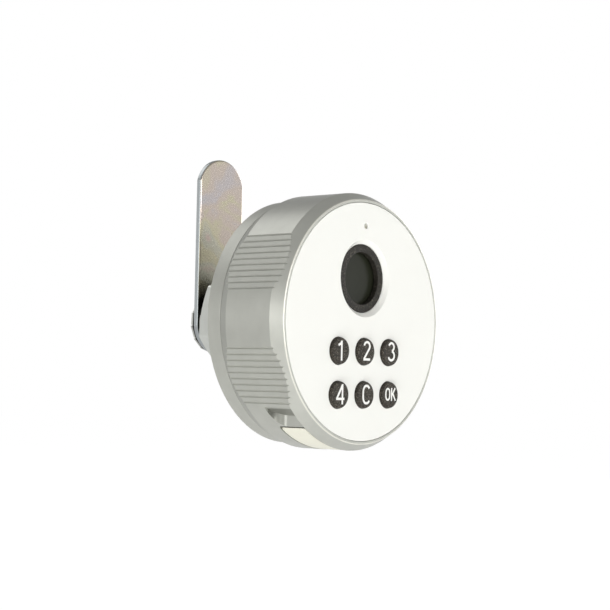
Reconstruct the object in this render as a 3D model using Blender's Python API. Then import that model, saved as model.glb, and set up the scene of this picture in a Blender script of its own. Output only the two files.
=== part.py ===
"""Knob-style fingerprint and keypad lock for a cabinet door.

The lock goes through a round hole in the door. Its base ring lies on the front of the door,
a threaded barrel passes through and a hexagonal nut clamps it from behind. The knob turns on
the base and carries the face, the six keys, the fingerprint reader and the battery drawer.
A spindle runs through the barrel to the cam, which turns behind the door frame.

Frame: the origin is on the lock's axis at the door face, the front looks along -Y, +Z is up
and the cam points up at rest. Every size below is in millimetres.
"""

import math

import bmesh
import bpy
from mathutils import Vector

MM = 0.001

# Clearances
SEAT = 0.3          # between two pieces that rest on each other
SLIP = 0.3          # round a piece that turns or slides in its neighbour
REACH_PAST = 1.0    # how far a cutter runs past the surface that it opens

# Facets of the turned pieces
FINE_STEPS = 72
ROUND_STEPS = 40
SMALL_STEPS = 20

# Base ring, barrel and spigot, one casting
RING_RADIUS = 27.0
RING_DEPTH = 3.75
RING_EDGE = 0.35
BARREL_RADIUS = 9.0
BARREL_LENGTH = 20.0
BARREL_FLATS = 15.2
BARREL_END_EDGE = 0.3
FLATS_START = 0.6
SPINDLE_BORE = 5.2
SPIGOT_RADIUS = 12.0
STOP_LUG_HEIGHT = 1.5
STOP_LUG_HALF_GAP = 78.0
STOP_LUG_INNER = 6.1
STOP_LUG_OUTER = 7.3

# Hexagonal nut
NUT_WALL = 1.3
NUT_THICKNESS = 5.5
NUT_PLACE = 12.7
NUT_TURN = 17.6
NUT_CHAMFER_ANGLE = 24.0

# Retaining ring
RETAINER_THICKNESS = 0.7
RETAINER_OUTER = 13.4
RETAINER_GROOVE = 1.0
RETAINER_HALF_GAP = 24.0

# Knob shell
KNOB_RADIUS = 28.0
KNOB_FRONT = 21.3
KNOB_SIDE = 14.95
FRONT_CHAMFER = 2.6
RIM_INSET = 1.5
RIM_WIDTH = 0.6
RIM_EDGE = 0.12
SHELL_WALL = 2.8
BACK_WALL = 2.2

# Ribbed grip pads, two on each side
PAD_ANGLE = 26.0
PAD_HALF_ANGLE = 13.25
GROOVES_PER_PAD = 10
GROOVE_PITCH = 1.41
GROOVE_WIDTH = 0.5
GROOVE_DEPTH = 0.38

# Face panel
PANEL_THICKNESS = 1.2

# Fingerprint reader
SENSOR_HEIGHT = 9.4
BEZEL_RADIUS = 7.15
BEZEL_SUNK = 0.95
BEZEL_DEPTH = 1.6
BEZEL_FLANGE = 8.4
BEZEL_OPENING = 5.7
WINDOW_RADIUS = 6.3
WINDOW_SUNK = 1.5
WINDOW_THICKNESS = 1.25

# Status light
LIGHT_HEIGHT = 20.8
LIGHT_HOLE = 0.55
LIGHT_RADIUS = 1.3
LIGHT_LENGTH = 1.2

# Keys
KEY_RADIUS = 2.9
KEY_TOP_RADIUS = 2.8
KEY_PROUD = 0.75
KEY_ROUNDING = 0.25
KEY_FLANGE = 3.7
KEY_FLANGE_THICKNESS = 0.4
KEY_TRAVEL = 0.3
KEY_PITCH_X = 8.68
KEY_ROWS = (-6.5, -15.83)
KEY_NAMES = (("key_1", "key_2", "key_3"), ("key_4", "key_c", "key_ok"))

# Dome sheet and circuit board
SHEET_THICKNESS = 0.2
SHEET_MARGIN = 3.7
DOME_RADIUS = 2.2
DOME_HEIGHT = 0.2
DOME_GAP = 0.1
BOARD_MARGIN = 1.4
BOARD_THICKNESS = 0.8

# Battery drawer and cell
CELL_RADIUS = 12.25
CELL_THICKNESS = 3.0
CELL_RISE = 0.65
DRAWER_SIDE = 0.95
DRAWER_FLOOR = 0.7
DRAWER_MOUTH = 5.0
COVER_FRONT = 2.7
COVER_DEPTH = 7.2
COVER_LEVEL = 22.75
COVER_SEAM = 0.25
COVER_CORNER = 1.4
COVER_THICKNESS = 2.45

# Fingernail notch above the left end of the battery cover
NOTCH_TOP_ANGLE = 43.0
NOTCH_WALL_TOP = 20.4
NOTCH_WALL_END = 7.4
NOTCH_END = 10.0
NOTCH_FILLET = 0.9
NOTCH_REACH = 1.6      # how far its tool runs out, in widths of the notch
FILLET_SHARE = 0.3     # the part of that width that the fillet takes

# Battery contacts
CONTACT_STRIP = 0.25
CONTACT_WIDTH = 4.0
CONTACT_LENGTH = 9.0
RIM_CONTACT_WIDTH = 5.0
RIM_CONTACT_LENGTH = 2.6

# Inner frame
FRAME_GAP = 0.3
CAVITY_RADIUS = 13.9
CAVITY_END = 0.6

# Spindle
SPINDLE_RADIUS = 4.9
DRIVE_DISC_RADIUS = 9.5
DRIVE_DISC_THICKNESS = 2.2
DRIVE_SLOT_WIDTH = 3.0
DRIVE_SLOT_DEPTH = 2.3
SQUARE_SIZE = 6.8

# Clutch pin and solenoid
PIN_RADIUS = 1.1
PIN_STANDOFF = 0.45
PIN_ENGAGED = 5.65
SOLENOID_WIDTH = 9.0
SOLENOID_DEPTH = 5.4
SOLENOID_HEIGHT = 7.6
SOLENOID_WALL = 2.0
SOLENOID_EDGE = 0.6

# Stop washer, cam and their screw
STOP_WASHER_THICKNESS = 1.5
STOP_WASHER_RADIUS = 5.8
STOP_EAR_RADIUS = 7.3
STOP_EAR_ANGLE = -45.0
STOP_EAR_HALF_ANGLE = 30.0
CAM_THICKNESS = 1.5
CAM_WIDTH = 14.4
CAM_REACH = 38.25
CAM_TIP_RADIUS = 7.5
CAM_HEEL_RADIUS = 7.7
CAM_EDGE = 0.3
TOOTH_WASHER_THICKNESS = 0.8
TOOTH_WASHER_RADIUS = 6.9
TOOTH_ROOT_RADIUS = 5.5
TOOTH_COUNT = 14
SCREW_HEAD_RADIUS = 5.0
SCREW_HEAD_HEIGHT = 2.0
SCREW_SHANK_RADIUS = 2.0
SCREW_LENGTH = 15.0
CROSS_SIZE = 5.0
CROSS_WIDTH = 1.0
CROSS_DEPTH = 1.1

# Frame screws and board screws
FRAME_SCREW_INSET = 5.34
FRAME_SCREW_ANGLE = 32.5
FRAME_SCREW_HEAD = 2.3
FRAME_SCREW_RADIUS = 1.1
FRAME_SCREW_LENGTH = 6.8
FRAME_SCREW_SUNK = 0.2
BOARD_SCREW_INSET = 2.48
BOARD_SCREW_ANGLE = 25.35
BOARD_SCREW_HEAD = 1.5
BOARD_SCREW_HEAD_HEIGHT = 0.8
BOARD_SCREW_RADIUS = 0.8
BOARD_SCREW_LENGTH = 5.0

# Stations along the axis, from the door face towards the front
ring_front = -RING_DEPTH
wall_back = ring_front - SEAT
wall_front = wall_back - BACK_WALL
retainer_back = wall_front - SEAT - 0.1
retainer_front = retainer_back - RETAINER_THICKNESS
spigot_front = retainer_front - SEAT - 0.65
disc_back = spigot_front - SLIP
disc_front = disc_back - DRIVE_DISC_THICKNESS
disc_middle = (disc_back + disc_front) / 2
cavity_front = disc_front - SLIP
bay_back = cavity_front - CAVITY_END
frame_back = wall_front - SEAT

# Stations behind the knob's front plane
face_front = -KNOB_FRONT
panel_back = face_front + PANEL_THICKNESS
ledge_front = panel_back + SEAT
chamfer_back = face_front + FRONT_CHAMFER
side_back = face_front + KNOB_SIDE
key_flange_front = panel_back + SEAT
key_flange_back = key_flange_front + KEY_FLANGE_THICKNESS
dome_front = key_flange_back + KEY_TRAVEL + DOME_GAP
sheet_front = dome_front + DOME_HEIGHT
sheet_back = sheet_front + SHEET_THICKNESS
board_front = sheet_back + SEAT
board_back = board_front + BOARD_THICKNESS
frame_front = board_back + SEAT
bezel_front = face_front + BEZEL_SUNK
bezel_back = bezel_front + BEZEL_DEPTH
window_front = bezel_front + WINDOW_SUNK
cover_front = face_front + COVER_FRONT
cover_back = cover_front + COVER_DEPTH
drawer_back = bay_back - SLIP
cell_back = drawer_back - DRAWER_FLOOR - SEAT
cell_front = cell_back - CELL_THICKNESS

# Stations behind the door
stop_washer_front = BARREL_LENGTH + SEAT
stop_washer_back = stop_washer_front + STOP_WASHER_THICKNESS
cam_front = stop_washer_back + SEAT
cam_back = cam_front + CAM_THICKNESS
tooth_washer_front = cam_back + SEAT
tooth_washer_back = tooth_washer_front + TOOTH_WASHER_THICKNESS
screw_head_front = tooth_washer_back + SEAT
screw_head_back = screw_head_front + SCREW_HEAD_HEIGHT
spindle_back = cam_back - 0.1

# Sizes across the nut
nut_across_flats = 2 * (BARREL_RADIUS + NUT_WALL)
nut_corner = nut_across_flats / 2 / math.cos(math.radians(30))

# Sizes across the knob
shell_bore = KNOB_RADIUS - SHELL_WALL
rim_radius = KNOB_RADIUS - RIM_INSET
rim_opening = rim_radius - RIM_WIDTH
face_radius = rim_opening - SEAT
frame_radius = shell_bore - FRAME_GAP
board_radius = frame_radius - BOARD_MARGIN
pad_distance = KNOB_RADIUS * math.cos(math.radians(PAD_HALF_ANGLE))
pocket_radius = CELL_RADIUS + SEAT
drawer_half_width = pocket_radius + DRAWER_SIDE
bay_half_width = drawer_half_width + SLIP
cell_drop = CELL_RADIUS + CELL_RISE
frame_screw_ring = frame_radius - FRAME_SCREW_INSET
frame_screw_x = frame_screw_ring * math.cos(math.radians(FRAME_SCREW_ANGLE))
frame_screw_z = frame_screw_ring * math.sin(math.radians(FRAME_SCREW_ANGLE))
board_screw_x = (board_radius - BOARD_SCREW_INSET) * math.cos(math.radians(BOARD_SCREW_ANGLE))
board_screw_z = (board_radius - BOARD_SCREW_INSET) * math.sin(math.radians(BOARD_SCREW_ANGLE))
solenoid_foot = frame_radius - SOLENOID_WALL - SOLENOID_HEIGHT
pin_tip = DRIVE_DISC_RADIUS + PIN_STANDOFF
pin_top = solenoid_foot + PIN_ENGAGED


def remove_everything():
    """Start from an empty scene."""
    for item in list(bpy.data.objects):
        bpy.data.objects.remove(item, do_unlink=True)


def linear(value):
    """Turn one display channel, 0 to 255, into a linear one."""
    share = value / 255
    return share / 12.92 if share <= 0.04045 else ((share + 0.055) / 1.055) ** 2.4


def material(name, colour, roughness, metallic=0.0):
    """A Principled surface with a plain colour, given as 0 to 255 display values."""
    made = bpy.data.materials.new(name)
    made.use_nodes = True
    surface = made.node_tree.nodes["Principled BSDF"]
    surface.inputs["Base Color"].default_value = (*[linear(channel) for channel in colour], 1)
    surface.inputs["Roughness"].default_value = roughness
    surface.inputs["Metallic"].default_value = metallic
    made.diffuse_color = surface.inputs["Base Color"].default_value
    return made


def pivot(name, place=(0, 0, 0), parent=None):
    """An empty on a joint's axis."""
    empty = bpy.data.objects.new(name, None)
    bpy.context.collection.objects.link(empty)
    empty.empty_display_size = 5 * MM
    empty.location = [coordinate * MM for coordinate in place]
    empty.parent = parent
    return empty


def finish(name, mesh_edit, surface=None, parent=None, place=(0, 0, 0)):
    """Turn an edited mesh into an object with its faces pointing out."""
    bmesh.ops.remove_doubles(mesh_edit, verts=mesh_edit.verts, dist=1e-7)
    bmesh.ops.recalc_face_normals(mesh_edit, faces=mesh_edit.faces)
    mesh = bpy.data.meshes.new(name)
    mesh_edit.to_mesh(mesh)
    mesh_edit.free()
    mesh.shade_smooth()
    mesh.set_sharp_from_angle(angle=math.radians(28))
    made = bpy.data.objects.new(name, mesh)
    bpy.context.collection.objects.link(made)
    made.location = [coordinate * MM for coordinate in place]
    made.parent = parent
    if surface:
        mesh.materials.append(surface)
    return made


def turned(name, outline, steps, surface=None, parent=None, place=(0, 0, 0), upright=False):
    """Turn an outline of (radius, station) points about Y, or about Z if upright."""
    shape = bmesh.new()
    points = []
    for radius, station in outline:
        spot = (radius, 0, station) if upright else (radius, station, 0)
        points.append(shape.verts.new(Vector(spot) * MM))
    pairs = list(zip(points, points[1:]))
    if outline[0][0] > 0 or outline[-1][0] > 0:
        pairs.append((points[-1], points[0]))
    edges = [shape.edges.new(pair) for pair in pairs]
    axis = (0, 0, 1) if upright else (0, 1, 0)
    bmesh.ops.spin(shape, geom=points + edges, cent=(0, 0, 0), axis=axis,
                   steps=steps, angle=math.tau, use_merge=True)
    close_flat_ends(shape)
    return finish(name, shape, surface, parent, place)


def close_flat_ends(shape):
    """Make one face of each flat fan of faces round a point on the axis."""
    bmesh.ops.remove_doubles(shape, verts=shape.verts, dist=1e-7)
    shape.normal_update()
    hubs = []
    for point in shape.verts:
        faces = point.link_faces
        if len(faces) > 4 and all(abs(face.normal.dot(faces[0].normal)) > 0.9999 for face in faces):
            hubs.append(point)
    bmesh.ops.dissolve_verts(shape, verts=hubs)


def plate(name, outline, front, back, surface=None, parent=None, place=(0, 0, 0)):
    """Extrude an outline of (x, z) points along Y, from front to back."""
    shape = bmesh.new()
    add_prism(shape, [Vector((x, front, z)) for x, z in outline], Vector((0, back - front, 0)))
    return finish(name, shape, surface, parent, place)


def add_prism(shape, corners, along):
    """Add one closed prism: a flat outline, swept along a vector."""
    base = shape.faces.new([shape.verts.new(corner * MM) for corner in corners])
    moved = bmesh.ops.extrude_face_region(shape, geom=[base])["geom"]
    tips = [item for item in moved if isinstance(item, bmesh.types.BMVert)]
    bmesh.ops.translate(shape, verts=tips, vec=along * MM)


def add_block(shape, low, high):
    """Add one closed box between two corners."""
    x_low, y_low, z_low = low
    x_high, y_high, z_high = high
    corners = [(x_low, y_low, z_low), (x_high, y_low, z_low),
               (x_high, y_low, z_high), (x_low, y_low, z_high)]
    add_prism(shape, [Vector(corner) for corner in corners], Vector((0, y_high - y_low, 0)))


def arc(radius, start, end, steps, centre=(0, 0)):
    """Points of an arc in the (x, z) plane, with angles in degrees from +X towards +Z."""
    points = []
    for step in range(steps + 1):
        angle = math.radians(start + (end - start) * step / steps)
        points.append((centre[0] + radius * math.cos(angle), centre[1] + radius * math.sin(angle)))
    return points


def cutter(made):
    """Hide a tool body and mark it as a tool."""
    made.hide_render = True
    made.display_type = "WIRE"
    return made


def combine(target, tool, operation="DIFFERENCE"):
    """Join, cut or trim a piece with a tool body."""
    step = target.modifiers.new(operation.lower(), "BOOLEAN")
    step.operation = operation
    step.object = cutter(tool)
    step.solver = "EXACT"


def cut_hole(target, name, radius, start, end, place=(0, 0), steps=SMALL_STEPS):
    """Cut a round hole along Y, centred on an (x, z) place."""
    tool = turned(name, [(0, start), (radius, start), (radius, end), (0, end)], steps,
                  place=(place[0], 0, place[1]))
    combine(target, tool)


def build_lock_body(surface, parent):
    """Base ring with its spigot in front and its threaded barrel behind."""
    barrel_end = BARREL_LENGTH + STOP_LUG_HEIGHT
    groove_floor = SPIGOT_RADIUS - RETAINER_GROOVE
    outline = [
        (SPINDLE_BORE, barrel_end), (STOP_LUG_OUTER, barrel_end), (STOP_LUG_OUTER, BARREL_LENGTH),
        (BARREL_RADIUS - BARREL_END_EDGE, BARREL_LENGTH),
        (BARREL_RADIUS, BARREL_LENGTH - BARREL_END_EDGE), (BARREL_RADIUS, 0),
        (RING_RADIUS - RING_EDGE, 0), (RING_RADIUS, -RING_EDGE),
        (RING_RADIUS, ring_front + RING_EDGE), (RING_RADIUS - RING_EDGE, ring_front),
        (SPIGOT_RADIUS, ring_front), (SPIGOT_RADIUS, retainer_back + SEAT),
        (groove_floor, retainer_back + SEAT), (groove_floor, retainer_front - SEAT),
        (SPIGOT_RADIUS, retainer_front - SEAT), (SPIGOT_RADIUS, spigot_front),
        (SPINDLE_BORE, spigot_front),
    ]
    body = turned("lock_body", outline, FINE_STEPS, surface, parent)

    flats = bmesh.new()
    for side in (-1, 1):
        near, far = sorted((side * BARREL_FLATS / 2, side * (BARREL_RADIUS + REACH_PAST)))
        add_block(flats, (near, FLATS_START, -BARREL_RADIUS), (far, barrel_end + REACH_PAST, BARREL_RADIUS))
    combine(body, finish("barrel_flats_cutter", flats))

    # The lug that is left on the barrel's end stops the ear of the stop washer
    sweep = arc(BARREL_RADIUS + REACH_PAST, 90 - STOP_LUG_HALF_GAP, 90 + STOP_LUG_HALF_GAP, ROUND_STEPS // 2)
    window = plate("stop_sweep_cutter", [(0, 0)] + sweep, BARREL_LENGTH, barrel_end + REACH_PAST)
    combine(body, window)
    cut_hole(body, "stop_seat_cutter", STOP_LUG_INNER, BARREL_LENGTH, barrel_end + REACH_PAST,
             steps=ROUND_STEPS)
    return body


def build_hex_nut(surface, parent):
    """Hexagonal nut with both faces chamfered, so that each flat ends in an arc."""
    chamfer = (nut_corner - nut_across_flats / 2) * math.tan(math.radians(NUT_CHAMFER_ANGLE))
    nut_back = NUT_PLACE + NUT_THICKNESS
    bore = BARREL_RADIUS + SLIP
    outline = [
        (bore, NUT_PLACE), (nut_across_flats / 2 - 0.05, NUT_PLACE),
        (nut_corner + 0.1, NUT_PLACE + chamfer * 1.1), (nut_corner + 0.1, nut_back - chamfer * 1.1),
        (nut_across_flats / 2 - 0.05, nut_back), (bore, nut_back),
    ]
    nut = turned("hex_nut", outline, FINE_STEPS, surface, parent)
    hexagon = arc(nut_corner, NUT_TURN, NUT_TURN + 300, 5)
    blank = plate("hexagon_cutter", hexagon, NUT_PLACE - REACH_PAST, nut_back + REACH_PAST)
    combine(nut, blank, "INTERSECT")
    return nut


def build_retaining_ring(surface, parent):
    """Open ring in the spigot's groove, which keeps the knob on the base."""
    inner = SPIGOT_RADIUS - RETAINER_GROOVE + SEAT
    start = RETAINER_HALF_GAP - 90
    end = 270 - RETAINER_HALF_GAP
    outline = arc(RETAINER_OUTER, start, end, ROUND_STEPS) + arc(inner, end, start, ROUND_STEPS)
    return plate("retaining_ring", outline, retainer_front, retainer_back, surface, parent)


def shell_outline():
    """Section of the knob shell, from the rim round its outside and back along its inside."""
    slope = (KNOB_RADIUS - rim_radius) / FRONT_CHAMFER
    return [
        (rim_opening, face_front), (rim_radius - RIM_EDGE, face_front),
        (rim_radius + RIM_EDGE * slope, face_front + RIM_EDGE),
        (KNOB_RADIUS - RIM_EDGE * slope, chamfer_back - RIM_EDGE), (KNOB_RADIUS, chamfer_back + RIM_EDGE),
        (KNOB_RADIUS, side_back - RIM_EDGE), (KNOB_RADIUS - RIM_EDGE / 2, side_back + RIM_EDGE),
        (RING_RADIUS, wall_back - RIM_EDGE), (RING_RADIUS - RIM_EDGE, wall_back),
        (SPIGOT_RADIUS + SLIP, wall_back), (SPIGOT_RADIUS + SLIP, wall_front),
        (shell_bore, wall_front), (shell_bore, ledge_front), (rim_opening, ledge_front),
    ]


def pad_cutter(side, lift):
    """Cut one flat pad across the knob's side, with a row of grooves along the axis.

    The pad's plane stands square to a radius; its grooves are spaced evenly down the plane.
    """
    angle = math.radians(PAD_ANGLE)
    outward = Vector((side * math.cos(angle), 0, lift * math.sin(angle)))
    along = Vector((-side * math.sin(angle), 0, lift * math.cos(angle)))
    half_length = KNOB_RADIUS * math.sin(math.radians(PAD_HALF_ANGLE)) + REACH_PAST
    row = GROOVE_PITCH * (GROOVES_PER_PAD - 1)
    line = [(-half_length, 0)]
    for groove in range(GROOVES_PER_PAD):
        middle = groove * GROOVE_PITCH - row / 2
        line += [(middle - GROOVE_WIDTH / 2, 0), (middle, -GROOVE_DEPTH), (middle + GROOVE_WIDTH / 2, 0)]
    line += [(half_length, 0), (half_length, 2 * REACH_PAST), (-half_length, 2 * REACH_PAST)]
    start = Vector((0, face_front - REACH_PAST, 0))
    corners = [start + outward * (pad_distance + depth) + along * step for step, depth in line]
    tool = bmesh.new()
    add_prism(tool, corners, Vector((0, wall_back - face_front + 2 * REACH_PAST, 0)))
    return finish("grip_pad_cutter", tool)


def cover_outline(inset):
    """The battery cover's place in the (x, y) plane: a rectangle with two rounded rear corners."""
    half = math.sqrt(KNOB_RADIUS ** 2 - COVER_LEVEL ** 2) - inset
    front = cover_front + inset
    back = cover_back - inset
    corner = arc(COVER_CORNER, 0, 90, 4, (half - COVER_CORNER, back - COVER_CORNER))
    mirrored = [(-x, y) for x, y in reversed(corner)]
    return [(half, front)] + corner + mirrored + [(-half, front)]


def cover_block(inset, extra, top):
    """A block under the knob in the battery cover's outline, from below the knob up to a level."""
    outline = [(x + math.copysign(extra, x), y) for x, y in cover_outline(inset)]
    low = -KNOB_RADIUS - REACH_PAST
    shape = bmesh.new()
    add_prism(shape, [Vector((x, y, low)) for x, y in outline], Vector((0, 0, top - low)))
    return shape


def notch_cutter():
    """Fingernail notch: an upright wall level with the cover's tip, a rear wall that runs out to
    the knob's side with a fillet at its foot, and a sloping ceiling."""
    tip = math.sqrt(KNOB_RADIUS ** 2 - COVER_LEVEL ** 2)
    top = math.radians(NOTCH_TOP_ANGLE)
    edge_x = KNOB_RADIUS * math.cos(top)
    edge_z = KNOB_RADIUS * math.sin(top)
    wall_end = face_front + NOTCH_WALL_END
    mouth_end = wall_end + (NOTCH_END - NOTCH_WALL_END) * NOTCH_REACH
    outer_x = tip + (edge_x - tip) * NOTCH_REACH
    outer_z = NOTCH_WALL_TOP + (edge_z - NOTCH_WALL_TOP) * NOTCH_REACH
    slope = (mouth_end - wall_end) / (outer_x - tip)

    tool = bmesh.new()
    foot = -COVER_LEVEL - COVER_SEAM / 2
    upper_front, upper_back, lower_front, lower_back = [], [], [], []
    for share in (0.0, 0.04, 0.14, FILLET_SHARE, 1.0):
        x = -tip - (outer_x - tip) * share
        height = -NOTCH_WALL_TOP - (outer_z - NOTCH_WALL_TOP) * share
        station = wall_end + slope * (-x - tip)
        if share < FILLET_SHARE:
            station -= NOTCH_FILLET * (1 - share / FILLET_SHARE) ** 2
        upper_front.append(tool.verts.new(Vector((x, cover_front, height)) * MM))
        upper_back.append(tool.verts.new(Vector((x, station, height)) * MM))
        lower_front.append(tool.verts.new(Vector((x, cover_front, foot)) * MM))
        lower_back.append(tool.verts.new(Vector((x, station, foot)) * MM))
    for near, far in ((upper_front, upper_back), (upper_back, lower_back),
                      (lower_back, lower_front), (lower_front, upper_front)):
        for step in range(len(near) - 1):
            tool.faces.new([near[step], near[step + 1], far[step + 1], far[step]])
    for step in (0, -1):
        tool.faces.new([upper_front[step], upper_back[step], lower_back[step], lower_front[step]])
    return finish("nail_notch_cutter", tool)


def build_knob_shell(surface, parent):
    """Cast cup with ribbed pads, a battery slot underneath and a fingernail notch."""
    shell = turned("knob_shell", shell_outline(), FINE_STEPS, surface, parent)
    for side in (-1, 1):
        for lift in (-1, 1):
            combine(shell, pad_cutter(side, lift))

    slot = cover_block(0, SLIP, -COVER_LEVEL)
    combine(shell, finish("cover_seat_cutter", slot))
    passage = bmesh.new()
    passage_top = -math.sqrt(shell_bore ** 2 - bay_half_width ** 2) + REACH_PAST
    add_block(passage, (-bay_half_width, cell_front - SLIP, -COVER_LEVEL - REACH_PAST),
              (bay_half_width, drawer_back + SLIP, passage_top))
    combine(shell, finish("drawer_passage_cutter", passage))
    combine(shell, notch_cutter())

    for number, (x, z) in enumerate(frame_screw_places(), start=1):
        combine(shell, frame_screw_hole(f"wall_hole_{number}_cutter", x, z))
    return shell


def frame_screw_places():
    """Four screws, in the order top right, top left, bottom left, bottom right."""
    return [(frame_screw_x, frame_screw_z), (-frame_screw_x, frame_screw_z),
            (-frame_screw_x, -frame_screw_z), (frame_screw_x, -frame_screw_z)]


def frame_screw_hole(name, x, z):
    """Countersunk hole through the back wall."""
    head = FRAME_SCREW_HEAD + SEAT
    shank = FRAME_SCREW_RADIUS + SEAT
    cone = FRAME_SCREW_HEAD - FRAME_SCREW_RADIUS
    seat = wall_back - FRAME_SCREW_SUNK
    outline = [(0, wall_back + REACH_PAST), (head, wall_back + REACH_PAST), (head, seat),
               (shank, seat - cone), (shank, wall_front - REACH_PAST), (0, wall_front - REACH_PAST)]
    return turned(name, outline, SMALL_STEPS, place=(x, 0, z))


def build_frame_screws(surface, parent):
    """Countersunk screws from behind, through the back wall into the inner frame."""
    cone = FRAME_SCREW_HEAD - FRAME_SCREW_RADIUS
    head_back = wall_back - FRAME_SCREW_SUNK
    tip = head_back - FRAME_SCREW_LENGTH
    outline = [(0, head_back), (FRAME_SCREW_HEAD, head_back), (FRAME_SCREW_RADIUS, head_back - cone),
               (FRAME_SCREW_RADIUS, tip + 0.4), (FRAME_SCREW_RADIUS - 0.4, tip), (0, tip)]
    for number, (x, z) in enumerate(frame_screw_places(), start=1):
        turned(f"frame_screw_{number}", outline, SMALL_STEPS // 2, surface, parent, (x, 0, z))


def build_face_panel(surface, parent):
    """Round panel, sunk round the reader and pierced for the keys and the light."""
    panel = turned("face_panel", [(0, face_front), (face_radius - 0.1, face_front),
                                  (face_radius, face_front + 0.1), (face_radius, panel_back),
                                  (0, panel_back)], FINE_STEPS, surface, parent)
    opening = BEZEL_RADIUS + SEAT
    dish = [(0, face_front - REACH_PAST), (opening + BEZEL_SUNK + REACH_PAST, face_front - REACH_PAST),
            (opening, bezel_front), (opening, panel_back + REACH_PAST), (0, panel_back + REACH_PAST)]
    combine(panel, turned("reader_dish_cutter", dish, ROUND_STEPS, place=(0, 0, SENSOR_HEIGHT)))
    for name, x, z in key_places():
        cut_hole(panel, f"{name}_hole_cutter", KEY_RADIUS + SLIP, face_front - REACH_PAST,
                 panel_back + REACH_PAST, (x, z))
    cut_hole(panel, "light_hole_cutter", LIGHT_HOLE, face_front - REACH_PAST, panel_back + REACH_PAST,
             (0, LIGHT_HEIGHT), SMALL_STEPS // 2)
    return panel


def key_places():
    """Name, x and z of each key, row by row."""
    places = []
    for row, names in enumerate(KEY_NAMES):
        for column, name in enumerate(names):
            places.append((name, (column - 1) * KEY_PITCH_X, KEY_ROWS[row]))
    return places


def build_keys(surface, parent):
    """Round keys with a soft top edge and a flange that the panel keeps in."""
    for name, x, z in key_places():
        top = face_front - KEY_PROUD
        outline = [(0, top)]
        for step in range(4):
            angle = math.radians(90 * step / 3)
            outline.append((KEY_TOP_RADIUS - KEY_ROUNDING * (1 - math.sin(angle)),
                            top + KEY_ROUNDING * (1 - math.cos(angle))))
        outline += [(KEY_RADIUS, face_front), (KEY_RADIUS, key_flange_front),
                    (KEY_FLANGE, key_flange_front), (KEY_FLANGE, key_flange_back), (0, key_flange_back)]
        turned(name, outline, SMALL_STEPS, surface, parent, (x, 0, z))


def build_reader(bezel_surface, window_surface, parent):
    """Fingerprint reader: a stepped ring with the reading window sunk inside it."""
    flange_front = panel_back + SEAT
    window_seat = window_front - SEAT
    outline = [(BEZEL_OPENING, bezel_front), (BEZEL_RADIUS, bezel_front), (BEZEL_RADIUS, flange_front),
               (BEZEL_FLANGE, flange_front), (BEZEL_FLANGE, bezel_back),
               (WINDOW_RADIUS + SEAT, bezel_back), (WINDOW_RADIUS + SEAT, window_seat),
               (BEZEL_OPENING, window_seat)]
    place = (0, 0, SENSOR_HEIGHT)
    turned("sensor_bezel", outline, ROUND_STEPS, bezel_surface, parent, place)
    window_back = window_front + WINDOW_THICKNESS
    outline = [(0, window_front), (WINDOW_RADIUS, window_front),
               (WINDOW_RADIUS, window_back), (0, window_back)]
    turned("sensor_window", outline, ROUND_STEPS, window_surface, parent, place)


def build_status_light(surface, parent):
    """Small lens on the board, behind the panel's pinhole."""
    front = panel_back + SEAT
    outline = [(0, front), (LIGHT_RADIUS - 0.2, front), (LIGHT_RADIUS, front + 0.2),
               (LIGHT_RADIUS, front + LIGHT_LENGTH), (0, front + LIGHT_LENGTH)]
    turned("status_light", outline, SMALL_STEPS // 2, surface, parent, (0, 0, LIGHT_HEIGHT))


def build_dome_sheet(surface, parent):
    """Thin sheet with a click dome under each key."""
    half_width = KEY_PITCH_X + SHEET_MARGIN
    low = KEY_ROWS[1] - SHEET_MARGIN
    high = KEY_ROWS[0] + SHEET_MARGIN
    outline = [(-half_width, low), (half_width, low), (half_width, high), (-half_width, high)]
    sheet = plate("dome_sheet", outline, sheet_front, sheet_back, surface, parent)
    for name, x, z in key_places():
        skirt = sheet_front + SHEET_THICKNESS / 2
        dome = [(0, dome_front), (DOME_RADIUS * 0.6, dome_front + DOME_HEIGHT * 0.2),
                (DOME_RADIUS, sheet_front), (DOME_RADIUS, skirt), (0, skirt)]
        tool = turned(f"{name}_dome_tool", dome, SMALL_STEPS // 2, place=(x, 0, z))
        combine(sheet, tool, "UNION")
    return sheet


def build_circuit_board(surface, parent):
    """Round board behind the panel, open where the reader's window passes."""
    board = turned("circuit_board", [(0, board_front), (board_radius, board_front),
                                     (board_radius, board_back), (0, board_back)],
                   ROUND_STEPS, surface, parent)
    cut_hole(board, "reader_hole_cutter", WINDOW_RADIUS + SEAT, board_front - REACH_PAST,
             board_back + REACH_PAST, (0, SENSOR_HEIGHT))
    for number, side in enumerate((1, -1), start=1):
        cut_hole(board, f"board_hole_{number}_cutter", BOARD_SCREW_RADIUS + SEAT,
                 board_front - REACH_PAST, board_back + REACH_PAST,
                 (side * board_screw_x, board_screw_z), SMALL_STEPS // 2)
    return board


def build_board_screws(surface, parent):
    """Two small screws that hold the board on the inner frame."""
    under = board_front - SEAT
    top = under - BOARD_SCREW_HEAD_HEIGHT
    tip = under + BOARD_SCREW_LENGTH
    outline = [(0, top), (BOARD_SCREW_HEAD - 0.3, top), (BOARD_SCREW_HEAD, top + 0.3),
               (BOARD_SCREW_HEAD, under), (BOARD_SCREW_RADIUS, under), (BOARD_SCREW_RADIUS, tip), (0, tip)]
    for number, side in enumerate((1, -1), start=1):
        turned(f"board_screw_{number}", outline, SMALL_STEPS // 2, surface, parent,
               (side * board_screw_x, 0, board_screw_z))


def bay_outline(half_width, bottom):
    """Outline of the drawer or its bay: straight sides and a round top."""
    crown = arc(half_width, 0, 180, ROUND_STEPS // 2, (0, -cell_drop))
    return [(half_width, bottom)] + crown + [(-half_width, bottom)]


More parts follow.
